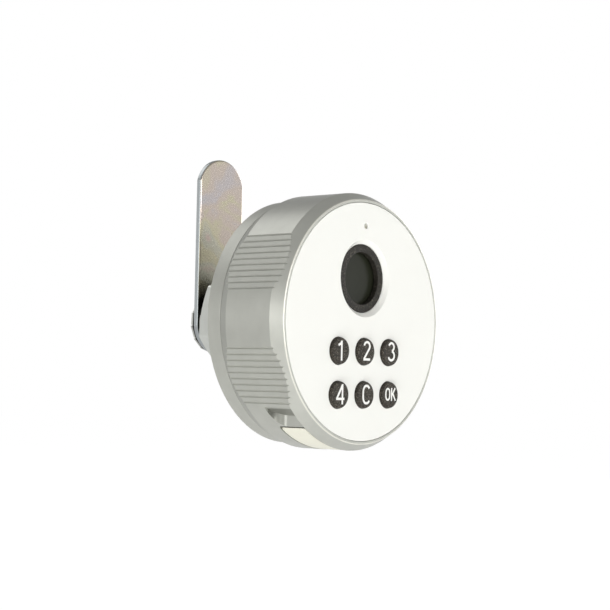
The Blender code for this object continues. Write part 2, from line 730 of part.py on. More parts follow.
def build_inner_frame(surface, parent):
    """Moulded frame that fills the knob: battery bay in front, drive cavity behind."""
    frame = turned("inner_frame", [(0, frame_front), (frame_radius, frame_front),
                                   (frame_radius, frame_back), (0, frame_back)],
                   ROUND_STEPS, surface, parent)
    bay = plate("battery_bay_cutter", bay_outline(bay_half_width, -frame_radius - REACH_PAST),
                frame_front - REACH_PAST, bay_back)
    combine(frame, bay)
    cut_hole(frame, "drive_cavity_cutter", CAVITY_RADIUS, cavity_front, frame_back + REACH_PAST,
             steps=ROUND_STEPS)

    pocket = bmesh.new()
    half = SOLENOID_WIDTH / 2 + SEAT
    add_block(pocket, (-half, disc_middle - SOLENOID_DEPTH / 2 - SEAT, solenoid_foot - SEAT),
              (half, frame_back + REACH_PAST, solenoid_foot + SOLENOID_HEIGHT + SEAT))
    combine(frame, finish("solenoid_pocket_cutter", pocket))
    guide = [(0, CAVITY_RADIUS - REACH_PAST), (PIN_RADIUS + SLIP, CAVITY_RADIUS - REACH_PAST),
             (PIN_RADIUS + SLIP, solenoid_foot), (0, solenoid_foot)]
    combine(frame, turned("pin_guide_cutter", guide, SMALL_STEPS // 2, place=(0, disc_middle, 0),
                          upright=True))

    for number, (x, z) in enumerate(frame_screw_places(), start=1):
        floor = wall_back - FRAME_SCREW_SUNK - FRAME_SCREW_LENGTH - SEAT
        cut_hole(frame, f"frame_hole_{number}_cutter", FRAME_SCREW_RADIUS + SEAT, floor,
                 frame_back + REACH_PAST, (x, z), SMALL_STEPS // 2)
    for number, side in enumerate((1, -1), start=1):
        floor = board_front - SEAT + BOARD_SCREW_LENGTH + SEAT
        cut_hole(frame, f"board_screw_hole_{number}_cutter", BOARD_SCREW_RADIUS + SEAT,
                 frame_front - REACH_PAST, floor, (side * board_screw_x, board_screw_z),
                 SMALL_STEPS // 2)
    return frame


def build_solenoid(surface, parent):
    """Small push solenoid, with the bore that its pin slides in."""
    shape = bmesh.new()
    add_block(shape, (-SOLENOID_WIDTH / 2, disc_middle - SOLENOID_DEPTH / 2, solenoid_foot),
              (SOLENOID_WIDTH / 2, disc_middle + SOLENOID_DEPTH / 2, solenoid_foot + SOLENOID_HEIGHT))
    upright_edges = [edge for edge in shape.edges
                     if abs((edge.verts[0].co - edge.verts[1].co).z) > SOLENOID_HEIGHT * MM / 2]
    bmesh.ops.bevel(shape, geom=upright_edges, offset=SOLENOID_EDGE * MM, segments=2, profile=0.5,
                    affect="EDGES")
    solenoid = finish("solenoid", shape, surface, parent)
    bore = [(0, solenoid_foot - REACH_PAST), (PIN_RADIUS + SLIP, solenoid_foot - REACH_PAST),
            (PIN_RADIUS + SLIP, pin_top + SLIP), (0, pin_top + SLIP)]
    combine(solenoid, turned("solenoid_bore_cutter", bore, SMALL_STEPS // 2, place=(0, disc_middle, 0),
                             upright=True))
    return solenoid


def build_clutch_pin(surface, parent):
    """Pin that drops into the spindle's slot to couple it to the knob."""
    outline = [(0, pin_tip), (PIN_RADIUS - 0.2, pin_tip), (PIN_RADIUS, pin_tip + 0.2),
               (PIN_RADIUS, pin_top), (0, pin_top)]
    turned("clutch_pin", outline, SMALL_STEPS // 2, surface, parent, (0, disc_middle, 0), upright=True)


def build_battery_drawer(surface, parent):
    """Curved cover with the cell's tray behind it, moulded as one piece."""
    outer = KNOB_RADIUS - 0.05
    inner = outer - COVER_THICKNESS
    cover_top = -COVER_LEVEL - COVER_SEAM
    drawer = finish("battery_drawer", cover_block(COVER_SEAM, 0, cover_top), surface, parent)
    past = REACH_PAST
    sleeve = [(inner, cover_front - past), (outer, cover_front - past),
              (outer, cover_back + past), (inner, cover_back + past)]
    combine(drawer, turned("cover_round_tool", sleeve, FINE_STEPS), "INTERSECT")

    sole = inner + COVER_THICKNESS / 2
    foot = math.degrees(math.asin(drawer_half_width / sole))
    tray_outline = (arc(sole, 270 - foot, 270 + foot, SMALL_STEPS)
                    + arc(drawer_half_width, 0, 180, ROUND_STEPS // 2, (0, -cell_drop)))
    tray = plate("drawer_tray_tool", tray_outline, cell_front + 0.1, drawer_back)
    combine(drawer, tray, "UNION")
    cut_hole(drawer, "cell_pocket_cutter", pocket_radius, cell_front - REACH_PAST,
             drawer_back - DRAWER_FLOOR, (0, -cell_drop), ROUND_STEPS)
    mouth = bmesh.new()
    add_block(mouth, (-DRAWER_MOUTH, cell_front - REACH_PAST, -cell_drop + CELL_RADIUS / 2),
              (DRAWER_MOUTH, drawer_back - DRAWER_FLOOR, drawer_half_width))
    combine(drawer, finish("drawer_mouth_cutter", mouth))
    return drawer


def build_coin_cell(surface, parent):
    """Coin cell with its stepped front face."""
    step = 1.1
    outline = [(0, cell_front), (CELL_RADIUS - step, cell_front), (CELL_RADIUS - step, cell_front + 0.25),
               (CELL_RADIUS - 0.3, cell_front + 0.35), (CELL_RADIUS, cell_front + 0.65),
               (CELL_RADIUS, cell_back - 0.3), (CELL_RADIUS - 0.3, cell_back), (0, cell_back)]
    turned("coin_cell", outline, ROUND_STEPS, surface, parent, (0, 0, -cell_drop))


def build_contacts(surface, parent):
    """Two sprung strips: one on the cell's front, one on its rim."""
    near = cell_front - SEAT
    far = board_back + SEAT
    top = -cell_drop + CONTACT_LENGTH / 2
    foot = top - CONTACT_LENGTH / 3
    toe = foot - CONTACT_LENGTH / 3
    low = toe - CONTACT_LENGTH / 3
    spine = [(far, top), (far, foot), (near - CONTACT_STRIP, toe), (near - CONTACT_STRIP, low)]
    back = [(station + CONTACT_STRIP, height) for station, height in reversed(spine)]
    corners = [Vector((-CONTACT_WIDTH / 2, station, height)) for station, height in spine + back]
    shape = bmesh.new()
    add_prism(shape, corners, Vector((CONTACT_WIDTH, 0, 0)))
    finish("contact_face", shape, surface, parent)

    ceiling = -cell_drop + bay_half_width - SEAT
    rim = -cell_drop + CELL_RADIUS + SEAT
    middle = (cell_front + cell_back) / 2
    start = middle - RIM_CONTACT_LENGTH / 2
    end = start + RIM_CONTACT_LENGTH
    bend = start + RIM_CONTACT_LENGTH * 0.4
    arch = [(start, ceiling - CONTACT_STRIP), (start, ceiling), (bend, ceiling),
            (end, rim + CONTACT_STRIP), (end, rim), (bend - 0.1, ceiling - CONTACT_STRIP)]
    corners = [Vector((-RIM_CONTACT_WIDTH / 2, station, height)) for station, height in arch]
    shape = bmesh.new()
    add_prism(shape, corners, Vector((RIM_CONTACT_WIDTH, 0, 0)))
    finish("contact_rim", shape, surface, parent)


def build_spindle(surface, parent):
    """Shaft with a slotted drive disc in front and a square behind the barrel."""
    outline = [(0, disc_front), (DRIVE_DISC_RADIUS, disc_front), (DRIVE_DISC_RADIUS, disc_back),
               (SPINDLE_RADIUS, disc_back), (SPINDLE_RADIUS, spindle_back), (0, spindle_back)]
    spindle = turned("spindle", outline, ROUND_STEPS, surface, parent)

    slot = bmesh.new()
    add_block(slot, (-DRIVE_SLOT_WIDTH / 2, disc_front - REACH_PAST, DRIVE_DISC_RADIUS - DRIVE_SLOT_DEPTH),
              (DRIVE_SLOT_WIDTH / 2, disc_back + SLIP / 2, DRIVE_DISC_RADIUS + REACH_PAST))
    combine(spindle, finish("drive_slot_cutter", slot))

    flats = bmesh.new()
    near = SQUARE_SIZE / 2
    far = SPINDLE_RADIUS + REACH_PAST
    start = BARREL_LENGTH
    end = spindle_back + REACH_PAST
    add_block(flats, (near, start, -far), (far, end, far))
    add_block(flats, (-far, start, -far), (-near, end, far))
    combine(spindle, finish("square_sides_cutter", flats))
    flats = bmesh.new()
    add_block(flats, (-far, start, near), (far, end, far))
    add_block(flats, (-far, start, -far), (far, end, -near))
    combine(spindle, finish("square_ends_cutter", flats))
    cut_hole(spindle, "screw_hole_cutter", SCREW_SHANK_RADIUS + SEAT,
             screw_head_front - SCREW_LENGTH - SEAT, spindle_back + REACH_PAST)
    return spindle


def square_cutter(name, start, end):
    """Square hole that fits over the spindle's end."""
    half = SQUARE_SIZE / 2 + SEAT
    shape = bmesh.new()
    add_block(shape, (-half, start - REACH_PAST, -half), (half, end + REACH_PAST, half))
    return finish(name, shape)


def build_stop_washer(surface, parent):
    """Washer with one ear, which meets the barrel's lug at each end of the turn."""
    middle = 90 - STOP_EAR_ANGLE
    start = middle - STOP_EAR_HALF_ANGLE
    end = middle + STOP_EAR_HALF_ANGLE
    outline = (arc(STOP_EAR_RADIUS, start, end, SMALL_STEPS // 2)
               + arc(STOP_WASHER_RADIUS, end, start + 360, ROUND_STEPS // 2))
    washer = plate("stop_washer", outline, stop_washer_front, stop_washer_back, surface, parent)
    combine(washer, square_cutter("stop_square_cutter", stop_washer_front, stop_washer_back))
    return washer


def build_cam(surface, parent):
    """Flat plate cam with a round tip and heel and softly punched edges."""
    half = CAM_WIDTH / 2
    tip_angle = math.degrees(math.acos(half / CAM_TIP_RADIUS))
    heel_angle = math.degrees(math.acos(half / CAM_HEEL_RADIUS))
    tip_centre = (0, CAM_REACH - CAM_TIP_RADIUS)
    outline = (arc(CAM_TIP_RADIUS, tip_angle, 180 - tip_angle, SMALL_STEPS, tip_centre)
               + arc(CAM_HEEL_RADIUS, 180 + heel_angle, 360 - heel_angle, SMALL_STEPS))
    cam = plate("cam", outline, cam_front, cam_back, surface, parent)
    edge = cam.modifiers.new("punched_edges", "BEVEL")
    edge.width = CAM_EDGE * MM
    edge.segments = 2
    edge.limit_method = "ANGLE"
    edge.angle_limit = math.radians(60)
    combine(cam, square_cutter("cam_square_cutter", cam_front, cam_back))
    return cam


def build_tooth_washer(surface, parent):
    """Lock washer with teeth round its outside."""
    outline = []
    pitch = 360 / TOOTH_COUNT
    for tooth in range(TOOTH_COUNT):
        start = tooth * pitch
        for radius, share in ((TOOTH_ROOT_RADIUS, 0.0), (TOOTH_ROOT_RADIUS, 0.3),
                              (TOOTH_WASHER_RADIUS, 0.4), (TOOTH_WASHER_RADIUS, 0.9)):
            angle = math.radians(start + pitch * share)
            outline.append((radius * math.cos(angle), radius * math.sin(angle)))
    washer = plate("tooth_washer", outline, tooth_washer_front, tooth_washer_back, surface, parent)
    cut_hole(washer, "washer_hole_cutter", SCREW_SHANK_RADIUS + SEAT, tooth_washer_front - REACH_PAST,
             tooth_washer_back + REACH_PAST)
    return washer


def build_cam_screw(surface, parent):
    """Pan-head screw with a cross recess."""
    tip = screw_head_front - SCREW_LENGTH
    outline = [(0, tip), (SCREW_SHANK_RADIUS - 0.5, tip), (SCREW_SHANK_RADIUS, tip + 0.5),
               (SCREW_SHANK_RADIUS, screw_head_front), (SCREW_HEAD_RADIUS, screw_head_front)]
    for step in range(5):
        angle = math.radians(15 + 75 * step / 4)
        outline.append((SCREW_HEAD_RADIUS * math.cos(angle) / math.cos(math.radians(15)),
                        screw_head_front + SCREW_HEAD_HEIGHT * math.sin(angle)))
    outline[-1] = (0, screw_head_back)
    screw = turned("cam_screw", outline, SMALL_STEPS, surface, parent)
    cross = bmesh.new()
    bottom = screw_head_back - CROSS_DEPTH
    top = screw_head_back + REACH_PAST
    arm = CROSS_SIZE / 2
    half = CROSS_WIDTH / 2
    arms = [(half, half), (half, arm), (-half, arm), (-half, half), (-arm, half), (-arm, -half),
            (-half, -half), (-half, -arm), (half, -arm), (half, -half), (arm, -half), (arm, half)]
    add_prism(cross, [Vector((x, bottom, z)) for x, z in arms], Vector((0, top - bottom, 0)))
    combine(screw, finish("cross_recess_cutter", cross))
    return screw


def build_lock():
    """Make every piece on the body that carries it."""
    remove_everything()
    cast_metal = material("painted_casting", (183, 184, 176), 0.42, 0.35)
    base_metal = material("base_casting", (186, 189, 181), 0.42, 0.35)
    zinc = material("yellow_zinc", (186, 172, 150), 0.32, 0.9)
    steel = material("bright_steel", (190, 190, 186), 0.3, 1.0)
    white = material("white_gloss", (246, 246, 240), 0.12)
    cover_white = material("cover_plastic", (240, 238, 226), 0.3)
    rubber = material("key_rubber", (62, 59, 54), 0.62)
    black = material("bezel_black", (46, 46, 42), 0.45)
    glass = material("reader_glass", (40, 41, 36), 0.25)
    lens = material("light_lens", (210, 205, 180), 0.2)
    film = material("dome_film", (170, 175, 180), 0.35)
    board = material("board_green", (28, 84, 58), 0.5)
    frame_plastic = material("frame_plastic", (52, 53, 55), 0.55)
    coil = material("coil_case", (150, 152, 150), 0.4, 0.8)
    cell = material("cell_steel", (200, 200, 198), 0.25, 1.0)
    contact = material("contact_metal", (205, 196, 160), 0.3, 1.0)

    base = pivot("base_frame")
    knob = pivot("knob_pivot", parent=base)
    spindle = pivot("spindle_pivot", parent=base)
    drawer = pivot("drawer_runner", parent=knob)

    build_lock_body(base_metal, base)
    build_hex_nut(steel, base)
    build_retaining_ring(steel, base)

    build_knob_shell(cast_metal, knob)
    build_face_panel(white, knob)
    build_reader(black, glass, knob)
    build_status_light(lens, knob)
    build_keys(rubber, knob)
    build_dome_sheet(film, knob)
    build_circuit_board(board, knob)
    build_board_screws(steel, knob)
    build_inner_frame(frame_plastic, knob)
    build_frame_screws(steel, knob)
    build_solenoid(coil, knob)
    build_clutch_pin(steel, knob)
    build_contacts(contact, knob)

    build_battery_drawer(cover_white, drawer)
    build_coin_cell(cell, drawer)

    build_spindle(steel, spindle)
    build_stop_washer(zinc, spindle)
    build_cam(zinc, spindle)
    build_tooth_washer(steel, spindle)
    build_cam_screw(steel, spindle)


build_lock()
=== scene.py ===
# %% [markdown]
# # A fingerprint lock for a cabinet door
# The lock is a round knob on a threaded barrel. The knob's face holds a fingerprint reader and
# six keys, and a cam behind the door swings when the knob is turned. The solid pieces come in
# already made. This lesson puts a camera and soft light round them, gives each one its finish,
# and builds the fine pieces that solids leave out: rounded edges, legends, threads and marks.

# %% Load the solid pieces
import math

import bmesh
import bpy
from mathutils import Matrix, Vector


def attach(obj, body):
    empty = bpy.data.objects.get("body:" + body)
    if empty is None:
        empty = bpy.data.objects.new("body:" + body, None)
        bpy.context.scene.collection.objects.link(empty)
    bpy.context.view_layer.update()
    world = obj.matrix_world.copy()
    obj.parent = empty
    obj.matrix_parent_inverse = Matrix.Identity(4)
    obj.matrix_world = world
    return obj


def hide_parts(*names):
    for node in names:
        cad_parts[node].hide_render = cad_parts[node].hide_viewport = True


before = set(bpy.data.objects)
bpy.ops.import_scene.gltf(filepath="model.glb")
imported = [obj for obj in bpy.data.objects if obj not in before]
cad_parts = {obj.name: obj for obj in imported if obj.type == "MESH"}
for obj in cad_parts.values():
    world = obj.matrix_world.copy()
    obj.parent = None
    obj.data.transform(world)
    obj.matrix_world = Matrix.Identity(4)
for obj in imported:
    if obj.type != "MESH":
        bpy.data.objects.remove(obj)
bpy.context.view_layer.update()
MM = 0.001

# %% [markdown]
# ## The camera
# A picture only looks right when it is seen from the right place. The camera stands about
# 34 cm from the lock, 49 degrees round to its left and a little below its middle, so it looks
# slightly up. Three turns describe it: round the upright, up, and a small roll. A long lens
# keeps the round face from stretching.

# %% Place the camera
# One unit is the face's radius; the next three say where the camera sees the face's middle
FACE_UNIT = 25.64 * MM
FACE_PLANE = -21.33 * MM
TO_RIGHT, TO_BELOW, AHEAD = 0.50398, 0.14088, 13.40139
TURN, LIFT, ROLL = (math.radians(angle) for angle in (49.4204, 2.4755, 1.1715))
FIELD_OF_VIEW = 21.765
SENSOR_WIDTH = 36


def scene_object(name, data):
    """A new object in the scene."""
    made = bpy.data.objects.new(name, data)
    bpy.context.scene.collection.objects.link(made)
    return made


ahead = Vector((math.sin(TURN) * math.cos(LIFT), math.cos(TURN) * math.cos(LIFT), math.sin(LIFT)))
level = Vector((math.cos(TURN), -math.sin(TURN), 0))
above = level.cross(ahead)
right = level * math.cos(ROLL) + above * math.sin(ROLL)
up = above * math.cos(ROLL) - level * math.sin(ROLL)
offset = right * TO_RIGHT - up * TO_BELOW + ahead * AHEAD
place = Vector((0, FACE_PLANE, 0)) - offset * FACE_UNIT

lens = bpy.data.cameras.new("photo_camera")
lens.sensor_width = SENSOR_WIDTH
lens.lens = SENSOR_WIDTH / 2 / math.tan(math.radians(FIELD_OF_VIEW / 2))
lens.clip_start = 0.01
camera = scene_object("photo_camera", lens)
turned_axes = Matrix((right, up, -ahead)).transposed().to_4x4()
camera.matrix_world = Matrix.Translation(place) @ turned_axes
bpy.context.scene.camera = camera
bpy.context.scene.view_settings.view_transform = "Standard"
print("camera stands at", [round(value, 3) for value in place])

# %% [markdown]
# ## The lamps
# The lock is shown in a white light tent: bright in front and from the left, dim above, with a
# white table below that throws light up under it. Large lamps close to the piece give soft
# shading, where small ones would leave hard shadows. All stand equally far away, so two angles
# and a power set each lamp, and one has a size of its own.

# %% Hang the lamps
LAMP_DISTANCE = 0.65
LAMPS = {
    "front_lamp": (0, 3, 2.62),
    "left_lamp": (45, 0, 0.3, 0.3),
    "far_left_lamp": (88, -7, 1.16),
    "low_lamp": (60, -45, 2.7),
    "right_lamp": (-90, 5, 2.6),
    "back_lamp": (170, 52, 0.85),
}


def soft_lamp(name, round_to_left, height, power, size=0.45):
    """A large square lamp round the lock; both angles are in degrees, seen from the front."""
    turn, lift = math.radians(round_to_left), math.radians(height)
    light = bpy.data.lights.new(name, "AREA")
    light.size = size
    light.energy = power
    lamp = scene_object(name, light)
    way = Vector((-math.sin(turn) * math.cos(lift), -math.cos(turn) * math.cos(lift),
                  math.sin(lift)))
    lamp.location = way * LAMP_DISTANCE
    lamp.rotation_euler = (-way).to_track_quat("-Z", "Y").to_euler()
    lamp.visible_camera = False


for name, values in LAMPS.items():
    soft_lamp(name, *values)
print("lamps:", len(LAMPS))

# %% [markdown]
# ## Helpers for node trees
# The world, the finishes and all grown geometry are trees of nodes. One helper adds a node
# with its values and links, and another adds a step of arithmetic. A node that is passed on
# stands for its first output.

# %% Add nodes and arithmetic
def output_of(source):
    """An output as it is, or the first output of a node."""
    return source.outputs[0] if hasattr(source, "outputs") else source


def add(tree, kind, values=None, **links):
    """Add a node, set its properties and plain values, and link others into its sockets."""
    node = tree.nodes.new(kind)
    for key, value in (values or {}).items():
        if hasattr(node, key):
            setattr(node, key, value)
        else:
            node.inputs[key.replace("_", " ")].default_value = value
    for socket, source in links.items():
        place = int(socket[1:]) if socket[1:].isdigit() else socket.replace("_", " ")
        tree.links.new(output_of(source), node.inputs[place])
    return node


def calc(tree, how, *values):
    """One arithmetic step on links or plain numbers."""
    node = add(tree, "ShaderNodeMath", {"operation": how})
    for value, socket in zip(values, node.inputs):
        if isinstance(value, (int, float)):
            socket.default_value = value
        else:
            tree.links.new(output_of(value), socket)
    return node


# %% [markdown]
# ## Light and floor
# The world and the floor both ask Blender what kind of ray has reached them. So the background
# is white for the camera and in reflections, without flooding the lock.

# %% Ask what kind of ray arrives
def seen_directly(tree):
    """One where the camera or a reflection looks straight at the surface, else nought."""
    kinds = add(tree, "ShaderNodeLightPath").outputs
    reflected = calc(tree, "MAXIMUM", kinds["Is Glossy Ray"], kinds["Is Transmission Ray"])
    return calc(tree, "MAXIMUM", kinds["Is Camera Ray"], reflected)


# %% [markdown]
# The world is plain white where the camera looks at it. A reflection sees it white near the
# horizon and grey overhead, where a tent has its dark opening, so the top of the metal stays
# darker than its sides. To all other rays the world is dim, and the lamps do the work.

# %% Make the world
WORLD_LIGHT = 0.05
OVERHEAD = 0.4
OPENING_BEGINS, OPENING_FULL = 0.1, 0.5
world = bpy.data.worlds.new("light_tent")
bpy.context.scene.world = world
world.use_nodes = True
sky = world.node_tree
backdrop = sky.nodes["Background"]
backdrop.inputs["Color"].default_value = (1, 1, 1, 1)
direction = add(sky, "ShaderNodeSeparateXYZ",
                Vector=add(sky, "ShaderNodeTexCoord").outputs["Generated"])
opening = add(sky, "ShaderNodeMapRange", {
    "interpolation_type": "SMOOTHSTEP", "From_Min": OPENING_BEGINS, "From_Max": OPENING_FULL,
    "To_Min": 1.0, "To_Max": OVERHEAD}, Value=direction.outputs["Z"])
camera_ray = add(sky, "ShaderNodeLightPath").outputs["Is Camera Ray"]
brightness = calc(sky, "MAXIMUM", opening, camera_ray)
strength = add(sky, "ShaderNodeMapRange", {"To_Min": WORLD_LIGHT}, Value=seen_directly(sky),
               To_Max=brightness)
sky.links.new(strength.outputs[0], backdrop.inputs["Strength"])
print("nodes in the world:", len(sky.nodes))

# %% [markdown]
# The floor is white paper that also glows a little where it is looked at. So it runs into the
# background without an edge, and still keeps the lock's soft shadow. The metal mirrors a darker
# table than the camera sees.

# %% Lay the floor
FLOOR_DROP = -0.075
FLOOR_HALF = 1.5
FLOOR_GLOW = 0.9
FLOOR_LEVEL = 1.1
FLOOR_MIRRORED = 0.75
PAPER_WHITE = 0.9
PAPER_ROUGHNESS = 0.9


def object_of(name, shape):
    """Make a scene object from a bmesh, which is used up."""
    mesh = bpy.data.meshes.new(name)
    shape.to_mesh(mesh)
    shape.free()
    return scene_object(name, mesh)


sheet = bmesh.new()
bmesh.ops.create_grid(sheet, x_segments=8, y_segments=8, size=FLOOR_HALF)
bmesh.ops.translate(sheet, verts=sheet.verts, vec=(0, 0, FLOOR_DROP))
floor = object_of("floor", sheet)
paper = bpy.data.materials.new("white_paper")
paper.use_nodes = True
tree = paper.node_tree
skin = tree.nodes["Principled BSDF"]
skin.inputs["Base Color"].default_value = [PAPER_WHITE] * 3 + [1]
skin.inputs["Roughness"].default_value = PAPER_ROUGHNESS
strength = add(tree, "ShaderNodeMapRange", {"To_Min": FLOOR_MIRRORED, "To_Max": FLOOR_LEVEL},
               Value=add(tree, "ShaderNodeLightPath").outputs["Is Camera Ray"])
glow = add(tree, "ShaderNodeEmission", Strength=strength)
share = calc(tree, "MULTIPLY", seen_directly(tree), FLOOR_GLOW)
blend = add(tree, "ShaderNodeMixShader", Fac=share, _1=skin, _2=glow)
tree.links.new(blend.outputs[0], tree.nodes["Material Output"].inputs["Surface"])
floor.data.materials.append(paper)
# Light from the low lamp comes up through the table, as through white glass
floor.visible_shadow = False
print("floor", round(-FLOOR_DROP / MM), "mm below the axis")

# %% [markdown]
# ## Tools for round pieces
# Most of the lock is turned, like work on a lathe: a section drawn beside the axis is swung
# once round it. Giving the section point by point also lets every corner get its own rounding,
# and a real edge is never perfectly sharp. A screw modifier could do the same, but rings of
# points placed by arithmetic give the same result each time and close exactly.

# %% Soften a section
def soften(section, step=8):
    """Replace each corner (radius, station, rounding) of a section with a small arc."""
    points = []
    for place, (radius, station, rounding) in enumerate(section):
        corner = Vector((radius, station))
        if not rounding:
            points.append(corner)
            continue
        before = (Vector(section[place - 1][:2]) - corner).normalized()
        after = (Vector(section[(place + 1) % len(section)][:2]) - corner).normalized()
        half = before.angle(after) / 2
        centre = corner + (before + after).normalized() * rounding / math.sin(half)
        first = corner + before * rounding / math.tan(half) - centre
        last = corner + after * rounding / math.tan(half) - centre
        sweep = math.pi - 2 * half
        pieces = max(2, math.ceil(math.degrees(sweep) / step))
        for piece in range(pieces + 1):
            share = piece / pieces
            way = first * math.sin((1 - share) * sweep) + last * math.sin(share * sweep)
            points.append(centre + way / math.sin(sweep))
    return points


# %% [markdown]
# The softened section becomes rings of points, and faces join each ring to the next. Where a
# section starts or ends on the axis, its flat end is one round face, which shades evenly. Faces
# are shaded smoothly, except over edges that turn sharply.

# %% Swing a section round its axis
FINE_STEPS = 240


def even(piece, angle=20):
    """Shade smoothly, except over edges that turn by more than an angle."""
    piece.data.shade_smooth()
    piece.data.set_sharp_from_angle(angle=math.radians(angle))


def put(name, points, faces):
    """Make an object from points in mm, with its faces pointing out."""
    shape = bmesh.new()
    made = [shape.verts.new([value * MM for value in point]) for point in points]
    for face in faces:
        shape.faces.new([made[corner] for corner in face])
    bmesh.ops.remove_doubles(shape, verts=shape.verts, dist=1e-7)
    bmesh.ops.recalc_face_normals(shape, faces=shape.faces)
    piece = object_of(name, shape)
    even(piece)
    return piece


def lathe(name, section, steps=192, centre=(0, 0)):
    """Swing a section about an axis along Y through an (x, z) place."""
    rings, points = [], []
    for radius, station in soften(section):
        if radius < 1e-6:
            rings.append([len(points)] * steps)
            points.append((centre[0], station, centre[1]))
            continue
        rings.append(list(range(len(points), len(points) + steps)))
        for step in range(steps):
            angle = math.tau * step / steps
            points.append((centre[0] + radius * math.cos(angle), station,
                           centre[1] + radius * math.sin(angle)))
    loops = list(zip(rings, rings[1:]))
    if len(set(rings[0])) > 1:
        loops.append((rings[-1], rings[0]))
    faces = []
    for near, far in loops:
        flat = abs(points[near[0]][1] - points[far[0]][1]) < 1e-9
        if flat and len(set(near)) == 1:
            faces.append(far)
            continue
        if flat and len(set(far)) == 1:
            faces.append(near)
            continue
        for step in range(steps):
            after = (step + 1) % steps
            corners = [near[step], near[after], far[after], far[step]]
            faces.append(list(dict.fromkeys(corners)))
    return put(name, points, faces)


# %% [markdown]
# ## Tools that cut
# A slot, a flat or a hole is cut as a machinist would cut it: a solid in the shape of the
# cutter is taken away from the piece. The boolean modifier does this exactly, and the result is
# kept as a plain mesh.

# %% Cut one piece with another
def plain_mesh(piece):
    """Turn a piece with live modifiers into a plain mesh."""
    ready = piece.evaluated_get(bpy.context.evaluated_depsgraph_get())
    mesh = bpy.data.meshes.new_from_object(ready)
    piece.modifiers.clear()
    piece.data = mesh


def carve(piece, tools, how="DIFFERENCE", smooth=20):
    """Cut pieces away, or keep only what lies inside them, and throw the tools away."""
    for tool in tools:
        step = piece.modifiers.new("carve", "BOOLEAN")
        step.operation = how
        step.solver = "EXACT"
        step.object = tool
    plain_mesh(piece)
    for tool in tools:
        bpy.data.objects.remove(tool)
    even(piece, smooth)


def block(name, low, high):
    """A plain box between two corners in mm, used as a cutting tool."""
    corners = [(x, y, z) for x in (low[0], high[0]) for y in (low[1], high[1])
               for z in (low[2], high[2])]
    sides = [(0, 1, 3, 2), (4, 6, 7, 5), (0, 4, 5, 1), (2, 3, 7, 6), (0, 2, 6, 4), (1, 5, 7, 3)]
    return put(name, corners, sides)


def closed_faces(count, rows=2):
    """The faces that close a stack of outlines of as many points: both ends and the sides."""
    end = (rows - 1) * count
    faces = [list(range(count)), list(range(end, end + count))]
    for start in range(0, end, count):
        for step in range(count):
            after = (step + 1) % count
            faces.append([start + step, start + after, start + count + after,
                          start + count + step])
    return faces


def prism(name, outline, front, back):
    """A flat outline of (x, z) points, swept from a front station to a back one."""
    points = [(x, front, z) for x, z in outline] + [(x, back, z) for x, z in outline]
    return put(name, points, closed_faces(len(outline)))


# %% [markdown]
# ## Hang a piece on its body
# A finished piece gets its finish, rides on the body that moves it, and hides the solid that
# it stands for. Before that, its large faces lead the shading, so that narrow roundings blend
# into them instead of bending them.

# %% Dress a piece and hang it
def dress(piece, *finishes):
    """Give a piece its finishes, in the order of its faces' numbers."""
    piece.data.materials.clear()
    for finish in finishes:
        piece.data.materials.append(finish)


def settle(piece, body, slot, *nodes):
    """Let large faces lead the shading, then hang the piece on its body in its nodes' place."""
    step = piece.modifiers.new("large_faces_lead", "WEIGHTED_NORMAL")
    step.keep_sharp = True
    plain_mesh(piece)
    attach(piece, body)
    for node in nodes:
        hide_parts(node)
    print(f"{piece.name}: {len(piece.data.polygons)} faces on {body}")


# %% [markdown]
# ## Geometry that grows
# Grooves, threads, teeth and legends repeat or follow a path, so node trees make them. Each
# tree has named inputs for its sizes. Its result is turned into a plain mesh, because the
# pieces are carved as meshes.

# %% Grow a mesh from a node tree
def node_tree(name, **sizes):
    """A Geometry Nodes tree that takes numbers, a geometry and a finish, and its inputs."""
    tree = bpy.data.node_groups.new(name, "GeometryNodeTree")
    tree.interface.new_socket("Geometry", in_out="INPUT", socket_type="NodeSocketGeometry")
    tree.interface.new_socket("Geometry", in_out="OUTPUT", socket_type="NodeSocketGeometry")
    for size, value in sizes.items():
        kind = "NodeSocketInt" if isinstance(value, int) else "NodeSocketFloat"
        socket = tree.interface.new_socket(size, in_out="INPUT", socket_type=kind)
        socket.default_value = value
    tree.interface.new_socket("Finish", in_out="INPUT", socket_type="NodeSocketMaterial")
    return tree, tree.nodes.new("NodeGroupInput").outputs


def joined(tree, *parts):
    """Several geometries as one."""
    whole = add(tree, "GeometryNodeJoinGeometry")
    for part in parts:
        tree.links.new(output_of(part), whole.inputs[0])
    return whole


def end_tree(tree, size, geometry):
    """Make instances real, give them their finish and send them out."""
    real = add(tree, "GeometryNodeRealizeInstances", Geometry=geometry)
    dressed = add(tree, "GeometryNodeSetMaterial", Geometry=real, Material=size["Finish"])
    add(tree, "NodeGroupOutput", _0=dressed)


def grow(name, tree, finish=None, start=None, **sizes):
    """Run a node tree on a new object and keep its result as a plain mesh."""
    piece = scene_object(name, start or bpy.data.meshes.new(name))
    step = piece.modifiers.new("grow", "NODES")
    step.node_group = tree
    if finish:
        sizes["Finish"] = finish
    for item in tree.interface.items_tree:
        if item.in_out == "INPUT" and item.name in sizes:
            step[item.identifier] = sizes[item.name]
    plain_mesh(piece)
    even(piece)
    print(f"{name}: {len(piece.data.polygons)} faces grown")
    return piece


# %% [markdown]
# ## Finishes
# A finish is a small node tree. Slow noise shifts the colour a little, as in any real casting
# or moulding; fine noise changes the roughness and raises a slight bump, so that highlights
# break up as they should. The sizes are counted in waves per metre in the object's own
# coordinates, so nothing slides when a piece moves.

# %% Build a finish
def shade(red, green, blue):
    """A colour from display values of 0 to 255."""
    values = [value / 255 for value in (red, green, blue)]
    return [v / 12.92 if v <= 0.04045 else ((v + 0.055) / 1.055) ** 2.4 for v in values] + [1]


